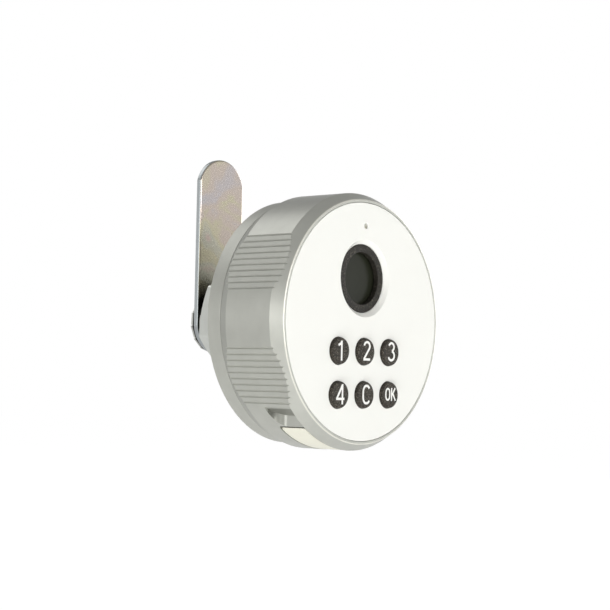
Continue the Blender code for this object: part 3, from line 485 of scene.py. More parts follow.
def finish_of(name, colour, roughness, metallic=0.0, cloud=(350, 0.04), grain=(5000, 0.05),
              relief=0.006, drawn=(1, 1, 1), shine=0.5):
    """A finish with cloudy colour, grainy roughness and relief in mm; drawn stretches grain."""
    made = bpy.data.materials.new(name)
    made.use_nodes = True
    tree = made.node_tree
    skin = tree.nodes["Principled BSDF"]
    skin.inputs["Metallic"].default_value = metallic
    skin.inputs["Specular IOR Level"].default_value = shine
    place = add(tree, "ShaderNodeTexCoord").outputs["Object"]
    clouds = add(tree, "ShaderNodeTexNoise", {"Scale": cloud[0], "Detail": 3.0}, Vector=place)
    light, dark = ([min(1, value * (1 + sign * cloud[1] * 2)) for value in shade(*colour)[:3]]
                   + [1] for sign in (1, -1))
    tone = add(tree, "ShaderNodeMix", {"data_type": "RGBA"}, _0=clouds.outputs["Fac"])
    tone.inputs[6].default_value = dark
    tone.inputs[7].default_value = light
    tree.links.new(tone.outputs[2], skin.inputs["Base Color"])
    along = add(tree, "ShaderNodeMapping", {"Scale": drawn}, Vector=place)
    grains = add(tree, "ShaderNodeTexNoise", {"Scale": grain[0], "Detail": 2.0},
                 Vector=along).outputs["Fac"]
    gloss = add(tree, "ShaderNodeMapRange", {"To_Min": max(0.02, roughness - grain[1]),
                                             "To_Max": roughness + grain[1]}, Value=grains)
    tree.links.new(gloss.outputs[0], skin.inputs["Roughness"])
    bump = add(tree, "ShaderNodeBump", {"Strength": 0.5, "Distance": relief * MM}, Height=grains)
    tree.links.new(bump.outputs[0], skin.inputs["Normal"])
    return made


def recolour(finish, scale, *stops, detail=2.0, distortion=0.0):
    """Swap a finish's cloudy colour for noise over stops of (share, red, green, blue)."""
    tree = finish.node_tree
    noise = add(tree, "ShaderNodeTexNoise",
                {"Scale": scale, "Detail": detail, "Distortion": distortion},
                Vector=add(tree, "ShaderNodeTexCoord").outputs["Object"])
    ramp = add(tree, "ShaderNodeValToRGB", _0=noise.outputs["Fac"])
    while len(ramp.color_ramp.elements) < len(stops):
        ramp.color_ramp.elements.new(0.5)
    ramp.color_ramp.interpolation = "EASE"
    for element, (position, *colour) in zip(ramp.color_ramp.elements, stops):
        element.position = position
        element.color = shade(*colour)
    tree.links.new(ramp.outputs[0], tree.nodes["Principled BSDF"].inputs["Base Color"])


# %% [markdown]
# The knob is painted silver, with painted shade in its notch, a painted highlight on the thin
# edge round the panel and painted shade on its rougher rear corner. The hardware behind the
# door is plated steel. Rubber, the circuit board and yellow zinc change from spot to spot, so
# noise picks from a row of colours.

# %% Make the finishes
SILVER = (188, 189, 181)
base_casting = finish_of("base_casting", SILVER, 0.42, 0.5, relief=0.004)
painted_casting = finish_of("painted_casting", SILVER, 0.34, 0.5, relief=0.004)
# Painted shade: the notch's darker colour stands in for the shade inside the hollow
notch_painted_shade = finish_of("notch_painted_shade", (146, 147, 139), 0.3, 0.6, relief=0.004)
# Painted highlight: the rim's light colour stands in for light caught on the panel's edge
rim_painted_highlight = finish_of("rim_painted_highlight", (224, 223, 213), 0.3, 0.3, relief=0.001)
# Painted shade: the rear corner's darker colour stands in for shade; its higher roughness is real
corner_painted_shade = finish_of("corner_painted_shade", (173, 174, 167), 0.5, 0.5, relief=0.006)
white_gloss = finish_of("white_gloss", (247, 247, 241), 0.12, cloud=(60, 0.004), relief=0.001)
cover_plastic = finish_of("cover_plastic", (248, 246, 228), 0.32, cloud=(120, 0.01), relief=0.002)
rubber = finish_of("key_rubber", (64, 60, 54), 0.6, relief=0.02, shine=0.25)
recolour(rubber, 5200, (0.42, 34, 31, 26), (0.56, 58, 53, 46), (0.70, 120, 114, 102))
bezel_black = finish_of("bezel_black", (58, 56, 50), 0.5, relief=0.012, shine=0.25)
recolour(bezel_black, 4600, (0.4, 29, 27, 23), (0.6, 47, 44, 38), (0.74, 106, 102, 90))
reader_glass = finish_of("reader_glass", (34, 36, 26), 0.3, cloud=(500, 0.03), relief=0.001,
                         shine=0.25)
light_lens = finish_of("light_lens", (214, 204, 176), 0.25, relief=0.001)
dome_film = finish_of("dome_film", (170, 175, 180), 0.35)
frame_plastic = finish_of("frame_plastic", (52, 53, 55), 0.55)
coil_case = finish_of("coil_case", (150, 152, 150), 0.4, 0.8)
contact_metal = finish_of("contact_metal", (205, 196, 160), 0.3, 1.0, drawn=(8, 1, 1))
cell_steel = finish_of("cell_steel", (200, 200, 198), 0.24, 1.0, grain=(2500, 0.06),
                       drawn=(1, 1, 12))
bright_steel = finish_of("bright_steel", (196, 197, 192), 0.3, 1.0, grain=(3000, 0.08),
                         drawn=(1, 6, 1))
board_green = finish_of("board_green", (28, 84, 58), 0.45, relief=0.004)
recolour(board_green, 420, (0.47, 24, 74, 52), (0.5, 40, 104, 74), (0.53, 24, 74, 52))
nut_zinc = finish_of("nut_zinc", (218, 220, 214), 0.36, 1.0, grain=(3000, 0.08))
plate_edge = finish_of("plate_edge", (172, 177, 178), 0.3, 0.9, relief=0.002)
yellow_zinc = finish_of("yellow_zinc", (186, 172, 150), 0.28, 0.9, grain=(3000, 0.03),
                        relief=0.0006)
recolour(yellow_zinc, 70, (0.30, 176, 180, 180), (0.40, 184, 178, 178), (0.48, 190, 178, 168),
         (0.56, 190, 184, 160), (0.64, 184, 182, 168), (0.74, 192, 174, 166), detail=5.0,
         distortion=0.7)
legend_white = finish_of("legend_white", (244, 243, 238), 0.4, cloud=(2000, 0.01), relief=0.002)
print("finishes:", len(bpy.data.materials))

# %% [markdown]
# The cam's foot, on the side that faces the nut, is darkened with painted shade and a painted
# dark reflection of the gap. The darkening fades upwards and stops at the plate's rounded edge,
# so two ranges of place choose between plating and painted shade.

# %% Paint shade on the foot of the cam
# Painted shade and a painted dark reflection on the cam's foot, near the nut
SHADE_HEIGHT = (5, 12.5)
SHADE_DEPTH = (22.3, 22.9)
FOOT_SHADE_COLOUR = (44, 46, 40)


def fade(tree, spot, axis, low, high):
    """Nought below one place in mm along an axis, one above another."""
    return add(tree, "ShaderNodeMapRange", {"From_Min": low * MM, "From_Max": high * MM},
               Value=spot.outputs[axis])


tree = yellow_zinc.node_tree
skin = tree.nodes["Principled BSDF"]
plating = skin.inputs["Base Color"].links[0].from_socket
spot = add(tree, "ShaderNodeSeparateXYZ",
           Vector=add(tree, "ShaderNodeTexCoord").outputs["Object"])
unshaded = calc(tree, "MAXIMUM", fade(tree, spot, "Z", *SHADE_HEIGHT),
             fade(tree, spot, "Y", *SHADE_DEPTH))
shaded_foot = add(tree, "ShaderNodeMix", {"data_type": "RGBA"}, _0=unshaded, _7=plating)
shaded_foot.inputs[6].default_value = shade(*FOOT_SHADE_COLOUR)
tree.links.new(shaded_foot.outputs[2], skin.inputs["Base Color"])
print("nodes in yellow_zinc:", len(tree.nodes))

# %% [markdown]
# ## The grip pads
# Two flat pads are milled into each side of the knob, with ten grooves each, so that fingers
# can hold it. The tool that cuts them starts as a flat grid. A formula bends it: wherever a
# point is near the middle of a groove, it sinks into the metal along a smooth bell curve.

# %% Sink the grooves into a grid
KNOB_RADIUS = 28.0
PAD_ANGLE = 26.0
PAD_LEAN = 0.5
PAD_HALF_ANGLE = 13.25
PAD_DISTANCE = KNOB_RADIUS * math.cos(math.radians(PAD_HALF_ANGLE))
PAD_WIDTH, PAD_POINTS = 15.2, 400
GROOVE_COUNT = 10

pads, size = node_tree(
    "grip_pads", Distance=PAD_DISTANCE * MM, Pitch=1.41 * MM, Count=GROOVE_COUNT,
    Width=0.6 * MM, Depth=0.27 * MM, Front=-22.3 * MM, Length=18.6 * MM)
grid = add(pads, "GeometryNodeMeshGrid", {"Size_Y": PAD_WIDTH * MM, "Vertices_X": 2,
                                          "Vertices_Y": PAD_POINTS},
           Size_X=size["Length"])
here = add(pads, "ShaderNodeSeparateXYZ",
           Vector=add(pads, "GeometryNodeInputPosition")).outputs
across = here["Y"]
turns = calc(pads, "DIVIDE", across, size["Pitch"])
wave = calc(pads, "WRAP", calc(pads, "ADD", turns, 0.5), 0.5, -0.5)
off_middle = calc(pads, "ABSOLUTE", calc(pads, "MULTIPLY", wave, size["Pitch"]))
share = calc(pads, "DIVIDE", off_middle, calc(pads, "MULTIPLY", size["Width"], 0.5))
angle = calc(pads, "MULTIPLY", calc(pads, "MINIMUM", share, 1.0), math.pi)
bell = calc(pads, "ADD", calc(pads, "MULTIPLY", calc(pads, "COSINE", angle), 0.5), 0.5)
row = calc(pads, "MULTIPLY", calc(pads, "MULTIPLY", size["Pitch"], size["Count"]), 0.5)
inside = calc(pads, "LESS_THAN", calc(pads, "ABSOLUTE", across), row)
sink = calc(pads, "MULTIPLY", calc(pads, "MULTIPLY", bell, size["Depth"]), inside)
print("nodes that sink the grooves:", len(pads.nodes))

# %% [markdown]
# The grid's X runs along the knob's axis and its Y across the pad, so the bent grid is stood up
# on its edge. It is then thickened into a solid, and four copies are set round the axis.

# %% Grow the pad tool
middle = calc(pads, "ADD", size["Front"], calc(pads, "MULTIPLY", size["Length"], 0.5))
spot = add(pads, "ShaderNodeCombineXYZ", X=calc(pads, "SUBTRACT", size["Distance"], sink),
           Y=calc(pads, "ADD", here["X"], middle), Z=across)
bent = add(pads, "GeometryNodeSetPosition", Geometry=grid, Position=spot)
thick = add(pads, "GeometryNodeExtrudeMesh", {"Individual": False, "Offset_Scale": 3 * MM,
                                              "Offset": (1, 0, 0)}, Mesh=bent)
under = add(pads, "GeometryNodeFlipFaces", Mesh=bent)
sealed = add(pads, "GeometryNodeMergeByDistance", {"Distance": 0.0001 * MM},
             Geometry=joined(pads, thick.outputs["Mesh"], under))
places = add(pads, "GeometryNodeMeshLine", {"Count": 4, "Offset": (0, 0, 0)})
number = add(pads, "GeometryNodeInputIndex")
upper = calc(pads, "MULTIPLY", calc(pads, "SUBTRACT", calc(pads, "MODULO", number, 2), 0.5),
             math.radians(2 * PAD_ANGLE))
side = calc(pads, "MULTIPLY", calc(pads, "FLOOR", calc(pads, "DIVIDE", number, 2)), math.pi)
lean = calc(pads, "SUBTRACT", side, math.radians(PAD_LEAN))
spin = add(pads, "ShaderNodeCombineXYZ", Y=calc(pads, "ADD", upper, lean))
ring_of_pads = add(pads, "GeometryNodeInstanceOnPoints", Points=places, Instance=sealed,
                   Rotation=spin)
end_tree(pads, size, ring_of_pads)
pad_tool = grow("grip_pad_tool", pads)

# %% [markdown]
# ## The knob's shell
# The shell is one zinc casting, painted silver. Its rim, its chamfer and its tapered rear
# corner are one turned section, a row of points with a radius, a place along the axis and a
# rounding in mm. The pads are cut first.

# %% Turn the shell
FACE = -21.3
shell_section = [
    (25.9, FACE, 0.12), (26.5, FACE, 0.36), (KNOB_RADIUS, -18.7, 0.35),
    (KNOB_RADIUS, -6.35, 0.2), (27.0, -3.9, 0.08), (12.3, -3.9, 0), (12.3, -6.25, 0),
    (25.2, -6.25, 0), (25.2, -19.8, 0), (25.9, -19.8, 0),
]
shell = lathe("knob_casting", shell_section, FINE_STEPS)
carve(shell, [pad_tool])
print("shell after its pads:", len(shell.data.polygons), "faces")

# %% [markdown]
# The battery cover sits in a slot at the bottom of the shell, with a fingernail notch beside
# it. The notch's cutter is a stack of four-cornered rows, whose ceiling rises and whose rear
# wall opens on the way out.

# %% Shape the cutters for the slot and the notch
COVER_LEVEL, COVER_FRONT, COVER_BACK, COVER_BEND = 22.75, -18.6, -11.4, 1.4
COVER_HALF = math.sqrt(KNOB_RADIUS ** 2 - COVER_LEVEL ** 2)
NOTCH_END = math.radians(41.8)
NOTCH_STEPS = 24
NOTCH_REACH, NOTCH_TOP = 1.5, 20.4
NOTCH_BOW, NOTCH_FLARE = 2.6, 0.62
NOTCH_WALL, NOTCH_MOUTH = FACE + 7.3, FACE + 9.9


def slot_tool():
    """A block in the battery cover's outline, from under the knob up to the cover's level."""
    side, steps = COVER_HALF + 0.3, 8
    outline = [(side, COVER_FRONT)]
    for step in range(steps + 1):
        angle = math.radians(90 * step / steps)
        outline.append((side - COVER_BEND + COVER_BEND * math.cos(angle),
                        COVER_BACK - COVER_BEND + COVER_BEND * math.sin(angle)))
    outline += [(-x, y) for x, y in reversed(outline)]
    points = [(x, y, z) for z in (-KNOB_RADIUS - 1, -COVER_LEVEL) for x, y in outline]
    return put("cover_slot_tool", points, closed_faces(len(outline)))


def notch_tool():
    """The fingernail notch: an upright wall, a sloping ceiling, and a hollow rear wall."""
    outer_x, outer_z = KNOB_RADIUS * math.cos(NOTCH_END), KNOB_RADIUS * math.sin(NOTCH_END)
    bottom = -COVER_LEVEL - 0.12
    points = []
    for step in range(NOTCH_STEPS + 1):
        share = (step / NOTCH_STEPS) ** 2 * NOTCH_REACH
        x = -COVER_HALF - (outer_x - COVER_HALF) * share
        ceiling = -NOTCH_TOP + (NOTCH_TOP - outer_z) * share
        hollow = (1 - max(0, 1 - share) ** NOTCH_BOW) ** NOTCH_FLARE
        station = NOTCH_WALL + (NOTCH_MOUTH - NOTCH_WALL) * hollow
        points += [(x, COVER_FRONT, ceiling), (x, station, ceiling), (x, station, bottom),
                   (x, COVER_FRONT, bottom)]
    return put("nail_notch_tool", points, closed_faces(4, NOTCH_STEPS + 1))


# %% [markdown]
# The shell has four finishes, and each face gets its own by where it lies: painted shade in
# the hollow of the notch, a painted highlight on the thin rim round the panel, painted shade on
# the rear corner, or plain paint elsewhere.

# %% Cut the shell and finish its faces
NOTCH_REGION = ((-KNOB_RADIUS, -16.2), (-18.7, -10.5), (-22.9, -18))
NOTCH_OUTSIDE = 27.7
RIM_INSIDE, RIM_OUTSIDE, RIM_DEPTH = 26.2, 26.7, 0.2
CORNER_INSIDE, CORNER_FRONT, CORNER_BACK = 26.9, -6.4, -3.9
IN_NOTCH, ON_RIM, ON_CORNER = 1, 2, 3
PASSAGE = (-13.8, -16.3, -24), (13.8, -11.6, -20)
carve(shell, [slot_tool()])
carve(shell, [block("drawer_passage_tool", *PASSAGE), notch_tool()])
dress(shell, painted_casting, notch_painted_shade, rim_painted_highlight, corner_painted_shade)
for face in shell.data.polygons:
    spot = face.center / MM
    outwards = math.hypot(spot.x, spot.z)
    hollow = all(low < value < high for value, (low, high) in zip(spot, NOTCH_REGION))
    near_face = spot.y < FACE + RIM_DEPTH and face.normal.y > -0.99
    if hollow and outwards < NOTCH_OUTSIDE and face.normal.x > -0.9:
        face.material_index = IN_NOTCH
    elif RIM_INSIDE < outwards < RIM_OUTSIDE and near_face:
        face.material_index = ON_RIM
    elif outwards > CORNER_INSIDE and CORNER_FRONT < spot.y < CORNER_BACK:
        face.material_index = ON_CORNER
settle(shell, "knob", "painted_casting", "knob_shell")

# %% [markdown]
# ## The face panel
# The panel is a white disc. The eye reads a plate as real when its edge and its holes catch a
# thin line of light, so every hole is cut with a tool whose mouth flares like a trumpet.

# %% Turn and pierce the panel
KEY_SPOTS = {"key_1": (-8.68, -6.5), "key_2": (0, -6.5), "key_3": (8.68, -6.5),
             "key_4": (-8.68, -15.83), "key_c": (0, -15.83), "key_ok": (8.68, -15.83)}
PANEL_RADIUS = 25.82
PANEL_BACK = -20.1
READER_SPOT = (0, 9.4)
LIGHT_SPOT = (0, 20.8)
LIP = 0.12


def mouth_tool(name, radius, centre):
    """A round cutting tool whose mouth flares out in a quarter circle."""
    section = [(0, FACE - 1, 0), (radius + LIP + 0.01, FACE - 1, 0)]
    for step in range(7):
        angle = math.radians(90 * step / 6)
        section.append((radius + LIP - LIP * math.sin(angle),
                        FACE + LIP - LIP * math.cos(angle), 0))
    section += [(radius, PANEL_BACK + 1, 0), (0, PANEL_BACK + 1, 0)]
    return lathe(name, section, 64, centre)


panel = lathe("face_plate", [(0, FACE, 0), (PANEL_RADIUS, FACE, 0.1),
                             (PANEL_RADIUS, PANEL_BACK, 0), (0, PANEL_BACK, 0)], FINE_STEPS)
dish = [(0, FACE - 1, 0), (9.45, FACE - 1, 0), (7.5, -20.35, 0.2), (7.35, PANEL_BACK + 1, 0),
        (0, PANEL_BACK + 1, 0)]
holes = [lathe("reader_dish_tool", dish, 128, READER_SPOT),
         mouth_tool("light_hole_tool", 0.62, LIGHT_SPOT)]
holes += [mouth_tool(f"{key}_hole_tool", 3.0, spot) for key, spot in KEY_SPOTS.items()]
carve(panel, holes)
dress(panel, white_gloss)
settle(panel, "knob", "white_gloss", "face_panel")

# %% [markdown]
# ## The keys and their legends
# Six rubber keys stand 0.75 mm proud of the panel. Each has a collar inside that keeps it from
# falling out, so its section is a disc with a wider foot.

# %% Turn the keys
KEY_FRONT = -22.05
key_section = [(0, KEY_FRONT, 0), (2.83, KEY_FRONT, 0.28), (2.9, FACE, 0), (2.9, -19.8, 0),
               (3.7, -19.8, 0), (3.7, -19.4, 0), (0, -19.4, 0)]
for key, spot in KEY_SPOTS.items():
    cap = lathe(f"{key}_cap", key_section, 64, spot)
    dress(cap, rubber)
    settle(cap, key, "key_rubber", key)

# %% [markdown]
# Each legend is printed on its key, in plain narrow letters of an even stroke. A stroke is a
# row of points in mm from the key's middle, and round ones are arcs of an oval. A font would
# be quicker, but its letters would not be as narrow.

# %% Write down the strokes
def bow(centre, size, start, end, steps=20, square=2.0):
    """Points of an oval arc in degrees; square above 2 makes the oval fuller."""
    points = []
    for step in range(steps + 1):
        angle = math.radians(start + (end - start) * step / steps)
        c, s = math.cos(angle), math.sin(angle)
        points.append((centre[0] + size[0] * math.copysign(abs(c) ** (2 / square), c),
                       centre[1] + size[1] * math.copysign(abs(s) ** (2 / square), s)))
    return points


STROKES = {
    "key_1": [[(0.14, -2.1), (0.14, 2.16)], [(0.1, 1.88), (-0.3, 1.48), (-0.96, 1.2)]],
    "key_2": [bow((0.1, 1.18), (0.96, 0.9), 172, -38) + [(-0.9, -1.58)],
              [(-1.1, -1.67), (1.2, -1.67)]],
    "key_3": [bow((0.08, 1.22), (0.92, 0.86), 160, -78),
              bow((0.06, -0.7), (1.06, 0.99), 80, -162)],
    "key_4": [[(0.66, 2.26), (0.66, -2.02)], [(0.58, 2.0), (-1.22, -0.86)],
              [(-1.42, -0.86), (1.3, -0.86)]],
    "key_c": [bow((0.18, 0.08), (1.14, 1.87), 38, 322, 40, 2.6)],
    "key_ok": [bow((-0.94, 0.16), (0.7, 1.22), 0, 360, 40, 2.4), [(0.42, 1.56), (0.42, -1.28)],
               [(1.66, 1.52), (0.48, -0.16)], [(0.84, 0.38), (1.78, -1.24)]],
}
print("strokes:", sum(len(strokes) for strokes in STROKES.values()))

# %% [markdown]
# A node tree draws a flat ribbon along the strokes, then stands it up on the key's front. Each
# stroke lies a hair above the last, so that crossing strokes don't share a plane.

# %% Draw the legends
STROKE_WIDTH, NARROW_STROKE = 0.52, 0.4
STROKE_LIFT, LAYER_LIFT = 0.005, 0.004
ribbon, size = node_tree("legend_ribbon", Width=STROKE_WIDTH * MM, Thickness=0.02 * MM,
                         X=0.0, Front=0.0, Z=0.0)
line = add(ribbon, "GeometryNodeMeshToCurve", Mesh=size["Geometry"])
flat = add(ribbon, "GeometryNodeSetCurveNormal", {"mode": "Z_UP"}, Curve=line)
brush = add(ribbon, "GeometryNodeCurvePrimitiveQuadrilateral", Width=size["Width"],
            Height=size["Thickness"])
drawn = add(ribbon, "GeometryNodeCurveToMesh", {"Fill_Caps": True}, Curve=flat,
            Profile_Curve=brush)
spot = add(ribbon, "ShaderNodeCombineXYZ", X=size["X"], Y=size["Front"], Z=size["Z"])
stood = add(ribbon, "GeometryNodeTransform", {"Rotation": (math.pi / 2, 0, 0)},
            Geometry=drawn, Translation=spot)
end_tree(ribbon, size, stood)
for key, strokes in STROKES.items():
    lines = bmesh.new()
    for layer, stroke in enumerate(strokes):
        dots = [lines.verts.new((x * MM, z * MM, LAYER_LIFT * layer * MM)) for x, z in stroke]
        for near, far in zip(dots, dots[1:]):
            lines.edges.new((near, far))
    drawing = bpy.data.meshes.new(f"{key}_legend")
    lines.to_mesh(drawing)
    lines.free()
    x, z = KEY_SPOTS[key]
    word = grow(f"{key}_legend", ribbon, legend_white, drawing, X=x * MM, Z=z * MM,
                Front=(KEY_FRONT - STROKE_LIFT) * MM,
                Width=(NARROW_STROKE if key == "key_ok" else STROKE_WIDTH) * MM)
    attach(word, key)

# %% [markdown]
# ## The fingerprint reader
# A black ring frames the reading window, which lies deeper. Both are turned. The ring is
# speckled like the keys, and the window is smooth dark glass. A small amber lens shows in a
# pinhole above.

# %% Turn the reader and the light
ring_section = [(5.7, -20.35, 0.15), (7.42, -20.35, 0.2), (7.42, -19.8, 0), (8.4, -19.8, 0),
                (8.4, -18.75, 0), (6.6, -18.75, 0), (6.6, -19.15, 0), (5.7, -19.15, 0)]
window_section = [(0, -18.85, 0), (6.3, -18.85, 0.1), (6.3, -17.6, 0), (0, -17.6, 0)]
lens_section = [(0, -20.05, 0), (0.75, -19.8, 0.2), (1.3, -19.75, 0.1), (1.3, -18.6, 0),
                (0, -18.6, 0)]
bezel = lathe("reader_ring", ring_section, 128, READER_SPOT)
dress(bezel, bezel_black)
settle(bezel, "knob", "bezel_black", "sensor_bezel")
window = lathe("reader_window", window_section, 96, READER_SPOT)
dress(window, reader_glass)
settle(window, "knob", "reader_glass", "sensor_window")
lens_cap = lathe("light_lens_cap", lens_section, 32, LIGHT_SPOT)
dress(lens_cap, light_lens)
settle(lens_cap, "knob", "light_lens", "status_light")

# %% [markdown]
# ## The base ring and its threaded barrel
# The ring that lies on the door and the barrel behind it are one casting. The barrel is turned
# a little thinner than its thread, milled flat on two sides, and cut back at its end so that a
# lug is left for the stop washer.

# %% Turn the base and cut its flats
BARREL_END, LUG_END = 20.0, 21.5
FLAT, FLAT_START, FLAT_HEIGHT, FLAT_OUTSIDE = 7.6, 0.6, 10, 10.5
SEAT_RADIUS = 6.1
TOOL_END = LUG_END + 1
SWEEP_REACH, SWEEP_START, SWEEP_STEP = 10, 12, 4
base_section = [
    (5.2, LUG_END, 0), (7.3, LUG_END, 0.1), (7.3, BARREL_END, 0.1), (8.7, BARREL_END, 0.35),
    (8.7, 1.2, 0), (9.0, 1.2, 0), (9.0, 0.3, 0), (9.4, 0, 0), (27.0, 0, 0.35),
    (27.0, -3.8, 0.1), (12.0, -3.8, 0), (12.0, -6.35, 0), (11.0, -6.35, 0), (11.0, -7.65, 0),
    (12.0, -7.65, 0), (12.0, -8.3, 0), (5.2, -8.3, 0),
]
base = lathe("base_casting", base_section, FINE_STEPS)
flats = [block("left_flat_tool", (-FLAT_OUTSIDE, FLAT_START, -FLAT_HEIGHT),
               (-FLAT, TOOL_END, FLAT_HEIGHT)),
         block("right_flat_tool", (FLAT, FLAT_START, -FLAT_HEIGHT),
               (FLAT_OUTSIDE, TOOL_END, FLAT_HEIGHT))]
sweep = [(0, 0)]
for step in range(40):
    angle = math.radians(SWEEP_START + SWEEP_STEP * step)
    sweep.append((SWEEP_REACH * math.cos(angle), SWEEP_REACH * math.sin(angle)))
seat = lathe("stop_seat_tool", [(0, BARREL_END, 0), (SEAT_RADIUS, BARREL_END, 0),
                                (SEAT_RADIUS, TOOL_END, 0), (0, TOOL_END, 0)], 96)
carve(base, flats + [prism("stop_sweep_tool", sweep, BARREL_END, TOOL_END), seat])
dress(base, base_casting)
settle(base, "base", "base_casting", "lock_body")

# %% [markdown]
# The thread is a triangle carried along a spiral. It stops where the barrel is milled flat, so
# the tree deletes the faces over the flats. A boolean cut would take far longer.

# %% Carry the thread along its spiral
thread, size = node_tree("barrel_thread", Turns=18.0, Pitch=1.0 * MM, Root=8.6 * MM,
                         Crest=9.12 * MM, Start=1.3 * MM, Flat=FLAT * MM)
spiral = add(thread, "GeometryNodeCurveSpiral", {"Resolution": 120}, Rotations=size["Turns"],
             Start_Radius=size["Root"], End_Radius=size["Root"],
             Height=calc(thread, "MULTIPLY", size["Turns"], size["Pitch"]))
upright = add(thread, "GeometryNodeSetCurveNormal", {"mode": "Z_UP"}, Curve=spiral)
tooth = add(thread, "GeometryNodeCurvePrimitiveCircle", {"Resolution": 3})
rise = calc(thread, "SUBTRACT", size["Crest"], size["Root"])
wide = add(thread, "ShaderNodeCombineXYZ", X=rise,
           Y=calc(thread, "MULTIPLY", size["Pitch"], 0.5), Z=rise)
shaped = add(thread, "GeometryNodeTransform", Geometry=tooth, Scale=wide)
swept = add(thread, "GeometryNodeCurveToMesh", {"Fill_Caps": True}, Curve=upright,
            Profile_Curve=shaped)
laid = add(thread, "GeometryNodeTransform", {"Rotation": (-math.pi / 2, 0, 0)},
           Geometry=swept, Translation=add(thread, "ShaderNodeCombineXYZ", Y=size["Start"]))
where = add(thread, "ShaderNodeSeparateXYZ", Vector=add(thread, "GeometryNodeInputPosition"))
over_flat = calc(thread, "GREATER_THAN", calc(thread, "ABSOLUTE", where), size["Flat"])
trimmed = add(thread, "GeometryNodeDeleteGeometry", {"domain": "FACE"},
              Geometry=laid, Selection=over_flat)
end_tree(thread, size, trimmed)
ridges = grow("barrel_thread", thread, base_casting)
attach(ridges, "base")

# %% [markdown]
# ## The nut
# A hexagonal nut is a turned blank trimmed by a hexagonal prism. The cone of each face then
# leaves the arcs that every real nut shows. Its corners are slightly blunt.

# %% Trim the nut
NUT_FRONT, NUT_BACK, NUT_FLAT, NUT_TURN = 12.7, 18.2, 10.3, 17.6
NUT_CORNER = NUT_FLAT / math.cos(math.radians(30))
NUT_REACH = NUT_CORNER + 0.1
NUT_TRIM, NUT_BLUNT, BLUNT_ANGLE = 0.02, 0.06, 1.2
CONE_SLOPE, CONE_MORE = 24, 1.1
cone = (NUT_CORNER - NUT_FLAT) * math.tan(math.radians(CONE_SLOPE)) * CONE_MORE
nut = lathe("nut_blank", [
    (9.3, NUT_FRONT + 0.4, 0), (9.7, NUT_FRONT, 0), (NUT_FLAT - 0.05, NUT_FRONT, 0.1),
    (NUT_REACH, NUT_FRONT + cone, 0), (NUT_REACH, NUT_BACK - cone, 0),
    (NUT_FLAT - 0.05, NUT_BACK, 0.1), (9.7, NUT_BACK, 0), (9.3, NUT_BACK - 0.4, 0)])
corners = []
for corner in range(6):
    for lean in (-BLUNT_ANGLE, 0, BLUNT_ANGLE):
        angle = math.radians(NUT_TURN + 60 * corner + lean)
        reach = NUT_CORNER - (NUT_BLUNT if lean else NUT_TRIM)
        corners.append((reach * math.cos(angle), reach * math.sin(angle)))
carve(nut, [prism("hexagon_tool", corners, NUT_FRONT - 1, NUT_BACK + 1)], "INTERSECT", 12)
dress(nut, nut_zinc)
settle(nut, "base", "bright_steel", "hex_nut")

# %% [markdown]
# ## The cam and its hardware
# The cam is a plate punched from steel and plated with yellow zinc, which shows patches of
# pink, blue and yellow like oil on water. Punching rounds its edges, and its edge is greyer
# than its faces.

# %% Cut the cam
CAM_WIDTH, CAM_REACH, CAM_TIP, CAM_HEEL = 14.4, 38.25, 7.5, 7.25
CAM_FRONT, CAM_BACK, CAM_ROUNDING, CAM_HOLE = 22.1, 23.6, 0.42, 3.7
EDGE_NORMAL = 0.6


def plate_outline(width, reach, tip, heel, steps=48):
    """A long plate with a round tip and a round heel."""
    lean = math.acos(width / 2 / tip)
    foot = math.acos(width / 2 / heel)
    outline = []
    for step in range(steps + 1):
        angle = lean + (math.pi - 2 * lean) * step / steps
        outline.append((tip * math.cos(angle), reach - tip + tip * math.sin(angle)))
    for step in range(steps + 1):
        angle = math.pi + foot + (math.pi - 2 * foot) * step / steps
        outline.append((heel * math.cos(angle), heel * math.sin(angle)))
    return outline


cam = prism("cam_plate", plate_outline(CAM_WIDTH, CAM_REACH, CAM_TIP, CAM_HEEL), CAM_FRONT,
            CAM_BACK)
punched = cam.modifiers.new("punched_edges", "BEVEL")
punched.width = CAM_ROUNDING * MM
punched.segments = 5
punched.limit_method = "ANGLE"
punched.angle_limit = math.radians(60)
plain_mesh(cam)
carve(cam, [block("cam_plate_hole_tool", (-CAM_HOLE, CAM_FRONT - 1, -CAM_HOLE),
                  (CAM_HOLE, CAM_BACK + 1, CAM_HOLE))], smooth=25)
dress(cam, yellow_zinc, plate_edge)
for face in cam.data.polygons:
    face.material_index = int(abs(face.normal.y) < EDGE_NORMAL)
settle(cam, "spindle", "yellow_zinc", "cam")

# %% [markdown]
# A toothed washer keeps the screw from working loose. Its teeth are small blocks, each twisted
# a little, and the tree sets them round a flat disc.

# %% Grow the toothed washer
TOOTH_LENGTH, TOOTH_WIDTH, TOOTH_THICKNESS = 1.6 * MM, 2.85 * MM, 0.5 * MM
DISC_THICKNESS = 0.42 * MM
WASHER_TURN = math.radians(6)
washer, size = node_tree("toothed_washer", Teeth=14, Root=5.5 * MM, Tip=6.85 * MM,
                         Hole=2.3 * MM, Front=23.9 * MM, Back=24.7 * MM, Twist=0.07)
tooth = add(washer, "GeometryNodeMeshCube", {"Size": (TOOTH_LENGTH, TOOTH_WIDTH, TOOTH_THICKNESS),
                                             "Vertices_X": 2})
leaned = add(washer, "GeometryNodeTransform", Geometry=tooth.outputs["Mesh"],
             Rotation=add(washer, "ShaderNodeCombineXYZ", X=size["Twist"]))
rim = add(washer, "GeometryNodeMeshCircle", Vertices=size["Teeth"],
          Radius=calc(washer, "SUBTRACT", size["Tip"], TOOTH_LENGTH / 2))
facing = add(washer, "GeometryNodeInputIndex")
turn = calc(washer, "DIVIDE", calc(washer, "MULTIPLY", facing, math.tau), size["Teeth"])
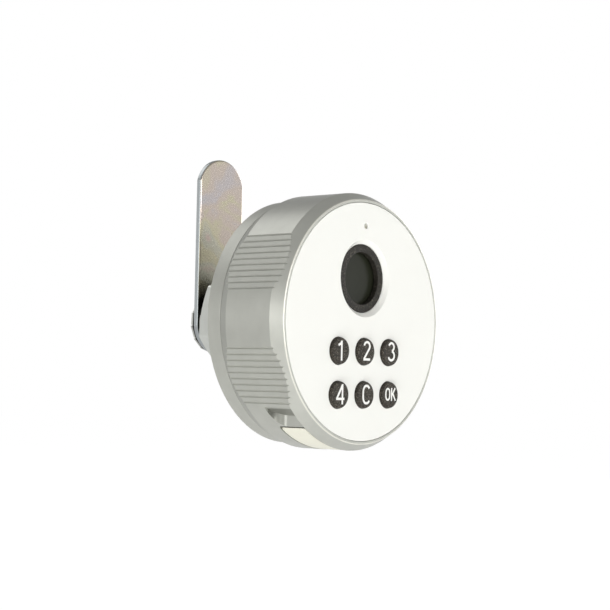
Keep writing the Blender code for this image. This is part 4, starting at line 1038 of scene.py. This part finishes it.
teeth = add(washer, "GeometryNodeInstanceOnPoints", Points=rim, Instance=leaned,
            Rotation=add(washer, "ShaderNodeCombineXYZ", Z=turn))
wall = calc(washer, "SUBTRACT", size["Root"], size["Hole"])
hub = add(washer, "GeometryNodeCurvePrimitiveCircle", {"Resolution": 64},
          Radius=calc(washer, "ADD", size["Hole"], calc(washer, "MULTIPLY", wall, 0.5)))
section = add(washer, "GeometryNodeCurvePrimitiveQuadrilateral", {"Height": DISC_THICKNESS},
              Width=wall)
disc = add(washer, "GeometryNodeCurveToMesh", Curve=hub, Profile_Curve=section)
centre = calc(washer, "MULTIPLY", calc(washer, "ADD", size["Front"], size["Back"]), 0.5)
laid = add(washer, "GeometryNodeTransform", {"Rotation": (-math.pi / 2, WASHER_TURN, 0)},
           Geometry=joined(washer, teeth, disc),
           Translation=add(washer, "ShaderNodeCombineXYZ", Y=centre))
end_tree(washer, size, laid)
lock_washer = grow("toothed_washer", washer, bright_steel)
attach(lock_washer, "spindle")
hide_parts("tooth_washer")

# %% [markdown]
# A pan-head screw holds the cam on the spindle. It is turned in one piece, and two crossed
# blocks cut the recess for the screwdriver.

# %% Turn the screw and cut its cross
HEAD_BACK = 27.0
CROSS_LENGTH, CROSS_WIDTH, CROSS_FLOOR = 2.4, 0.45, 25.9
screw_section = [
    (0, 10.2, 0), (1.5, 10.2, 0), (2.0, 10.7, 0), (2.0, 25.0, 0), (5.0, 25.0, 0.15),
    (5.0, 25.5, 0.5), (4.1, 26.6, 1.2), (0, HEAD_BACK, 0),
]
screw = lathe("pan_head_screw", screw_section, 96)
arms = [block(name, (-x, CROSS_FLOOR, -z), (x, HEAD_BACK + 1, z))
        for name, x, z in (("cross_tool_a", CROSS_LENGTH, CROSS_WIDTH),
                           ("cross_tool_b", CROSS_WIDTH, CROSS_LENGTH))]
carve(screw, arms)
dress(screw, bright_steel)
settle(screw, "spindle", "bright_steel", "cam_screw")

# %% [markdown]
# ## The battery drawer
# The cream cover under the knob is the front of a drawer that holds a coin cell. A copy of
# each solid is welded and shaded smoothly. Only the copy's shading changes, so it stays true
# to the solid that it stands for.

# %% Smooth copies of the plain solids
WELD, FLATTEN, SOFT_EDGE = 1e-6, math.radians(0.5), 25


def smooth_copy(node, body, finish, slot):
    """A welded copy of a solid, shaded smoothly, which stands in its place."""
    shape = bmesh.new()
    shape.from_mesh(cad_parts[node].data)
    bmesh.ops.remove_doubles(shape, verts=shape.verts, dist=WELD)
    bmesh.ops.dissolve_limit(shape, angle_limit=FLATTEN, verts=shape.verts, edges=shape.edges)
    piece = object_of(f"{node}_smooth", shape)
    even(piece, SOFT_EDGE)
    dress(piece, finish)
    settle(piece, body, slot, node)


smooth_copy("battery_drawer", "drawer", cover_plastic, "cover_plastic")
smooth_copy("coin_cell", "drawer", cell_steel, "cell_steel")
smooth_copy("stop_washer", "spindle", yellow_zinc, "yellow_zinc")
smooth_copy("spindle", "spindle", bright_steel, "bright_steel")
smooth_copy("inner_frame", "knob", frame_plastic, "frame_plastic")
smooth_copy("retaining_ring", "base", bright_steel, "bright_steel")
for number in range(1, 5):
    smooth_copy(f"frame_screw_{number}", "knob", bright_steel, "bright_steel")

# %% [markdown]
# Pieces deep inside the knob never show, so they keep their solids and only take a finish.

# %% Finish the solids that stay as they are
STAYING = {"dome_sheet": dome_film, "circuit_board": board_green, "board_screw_1": bright_steel,
           "board_screw_2": bright_steel, "solenoid": coil_case, "contact_face": contact_metal,
           "contact_rim": contact_metal, "clutch_pin": bright_steel}
for node, finish in STAYING.items():
    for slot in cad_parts[node].material_slots:
        slot.material = finish
print("kept as they are:", len(STAYING), "replaced:", len(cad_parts) - len(STAYING))
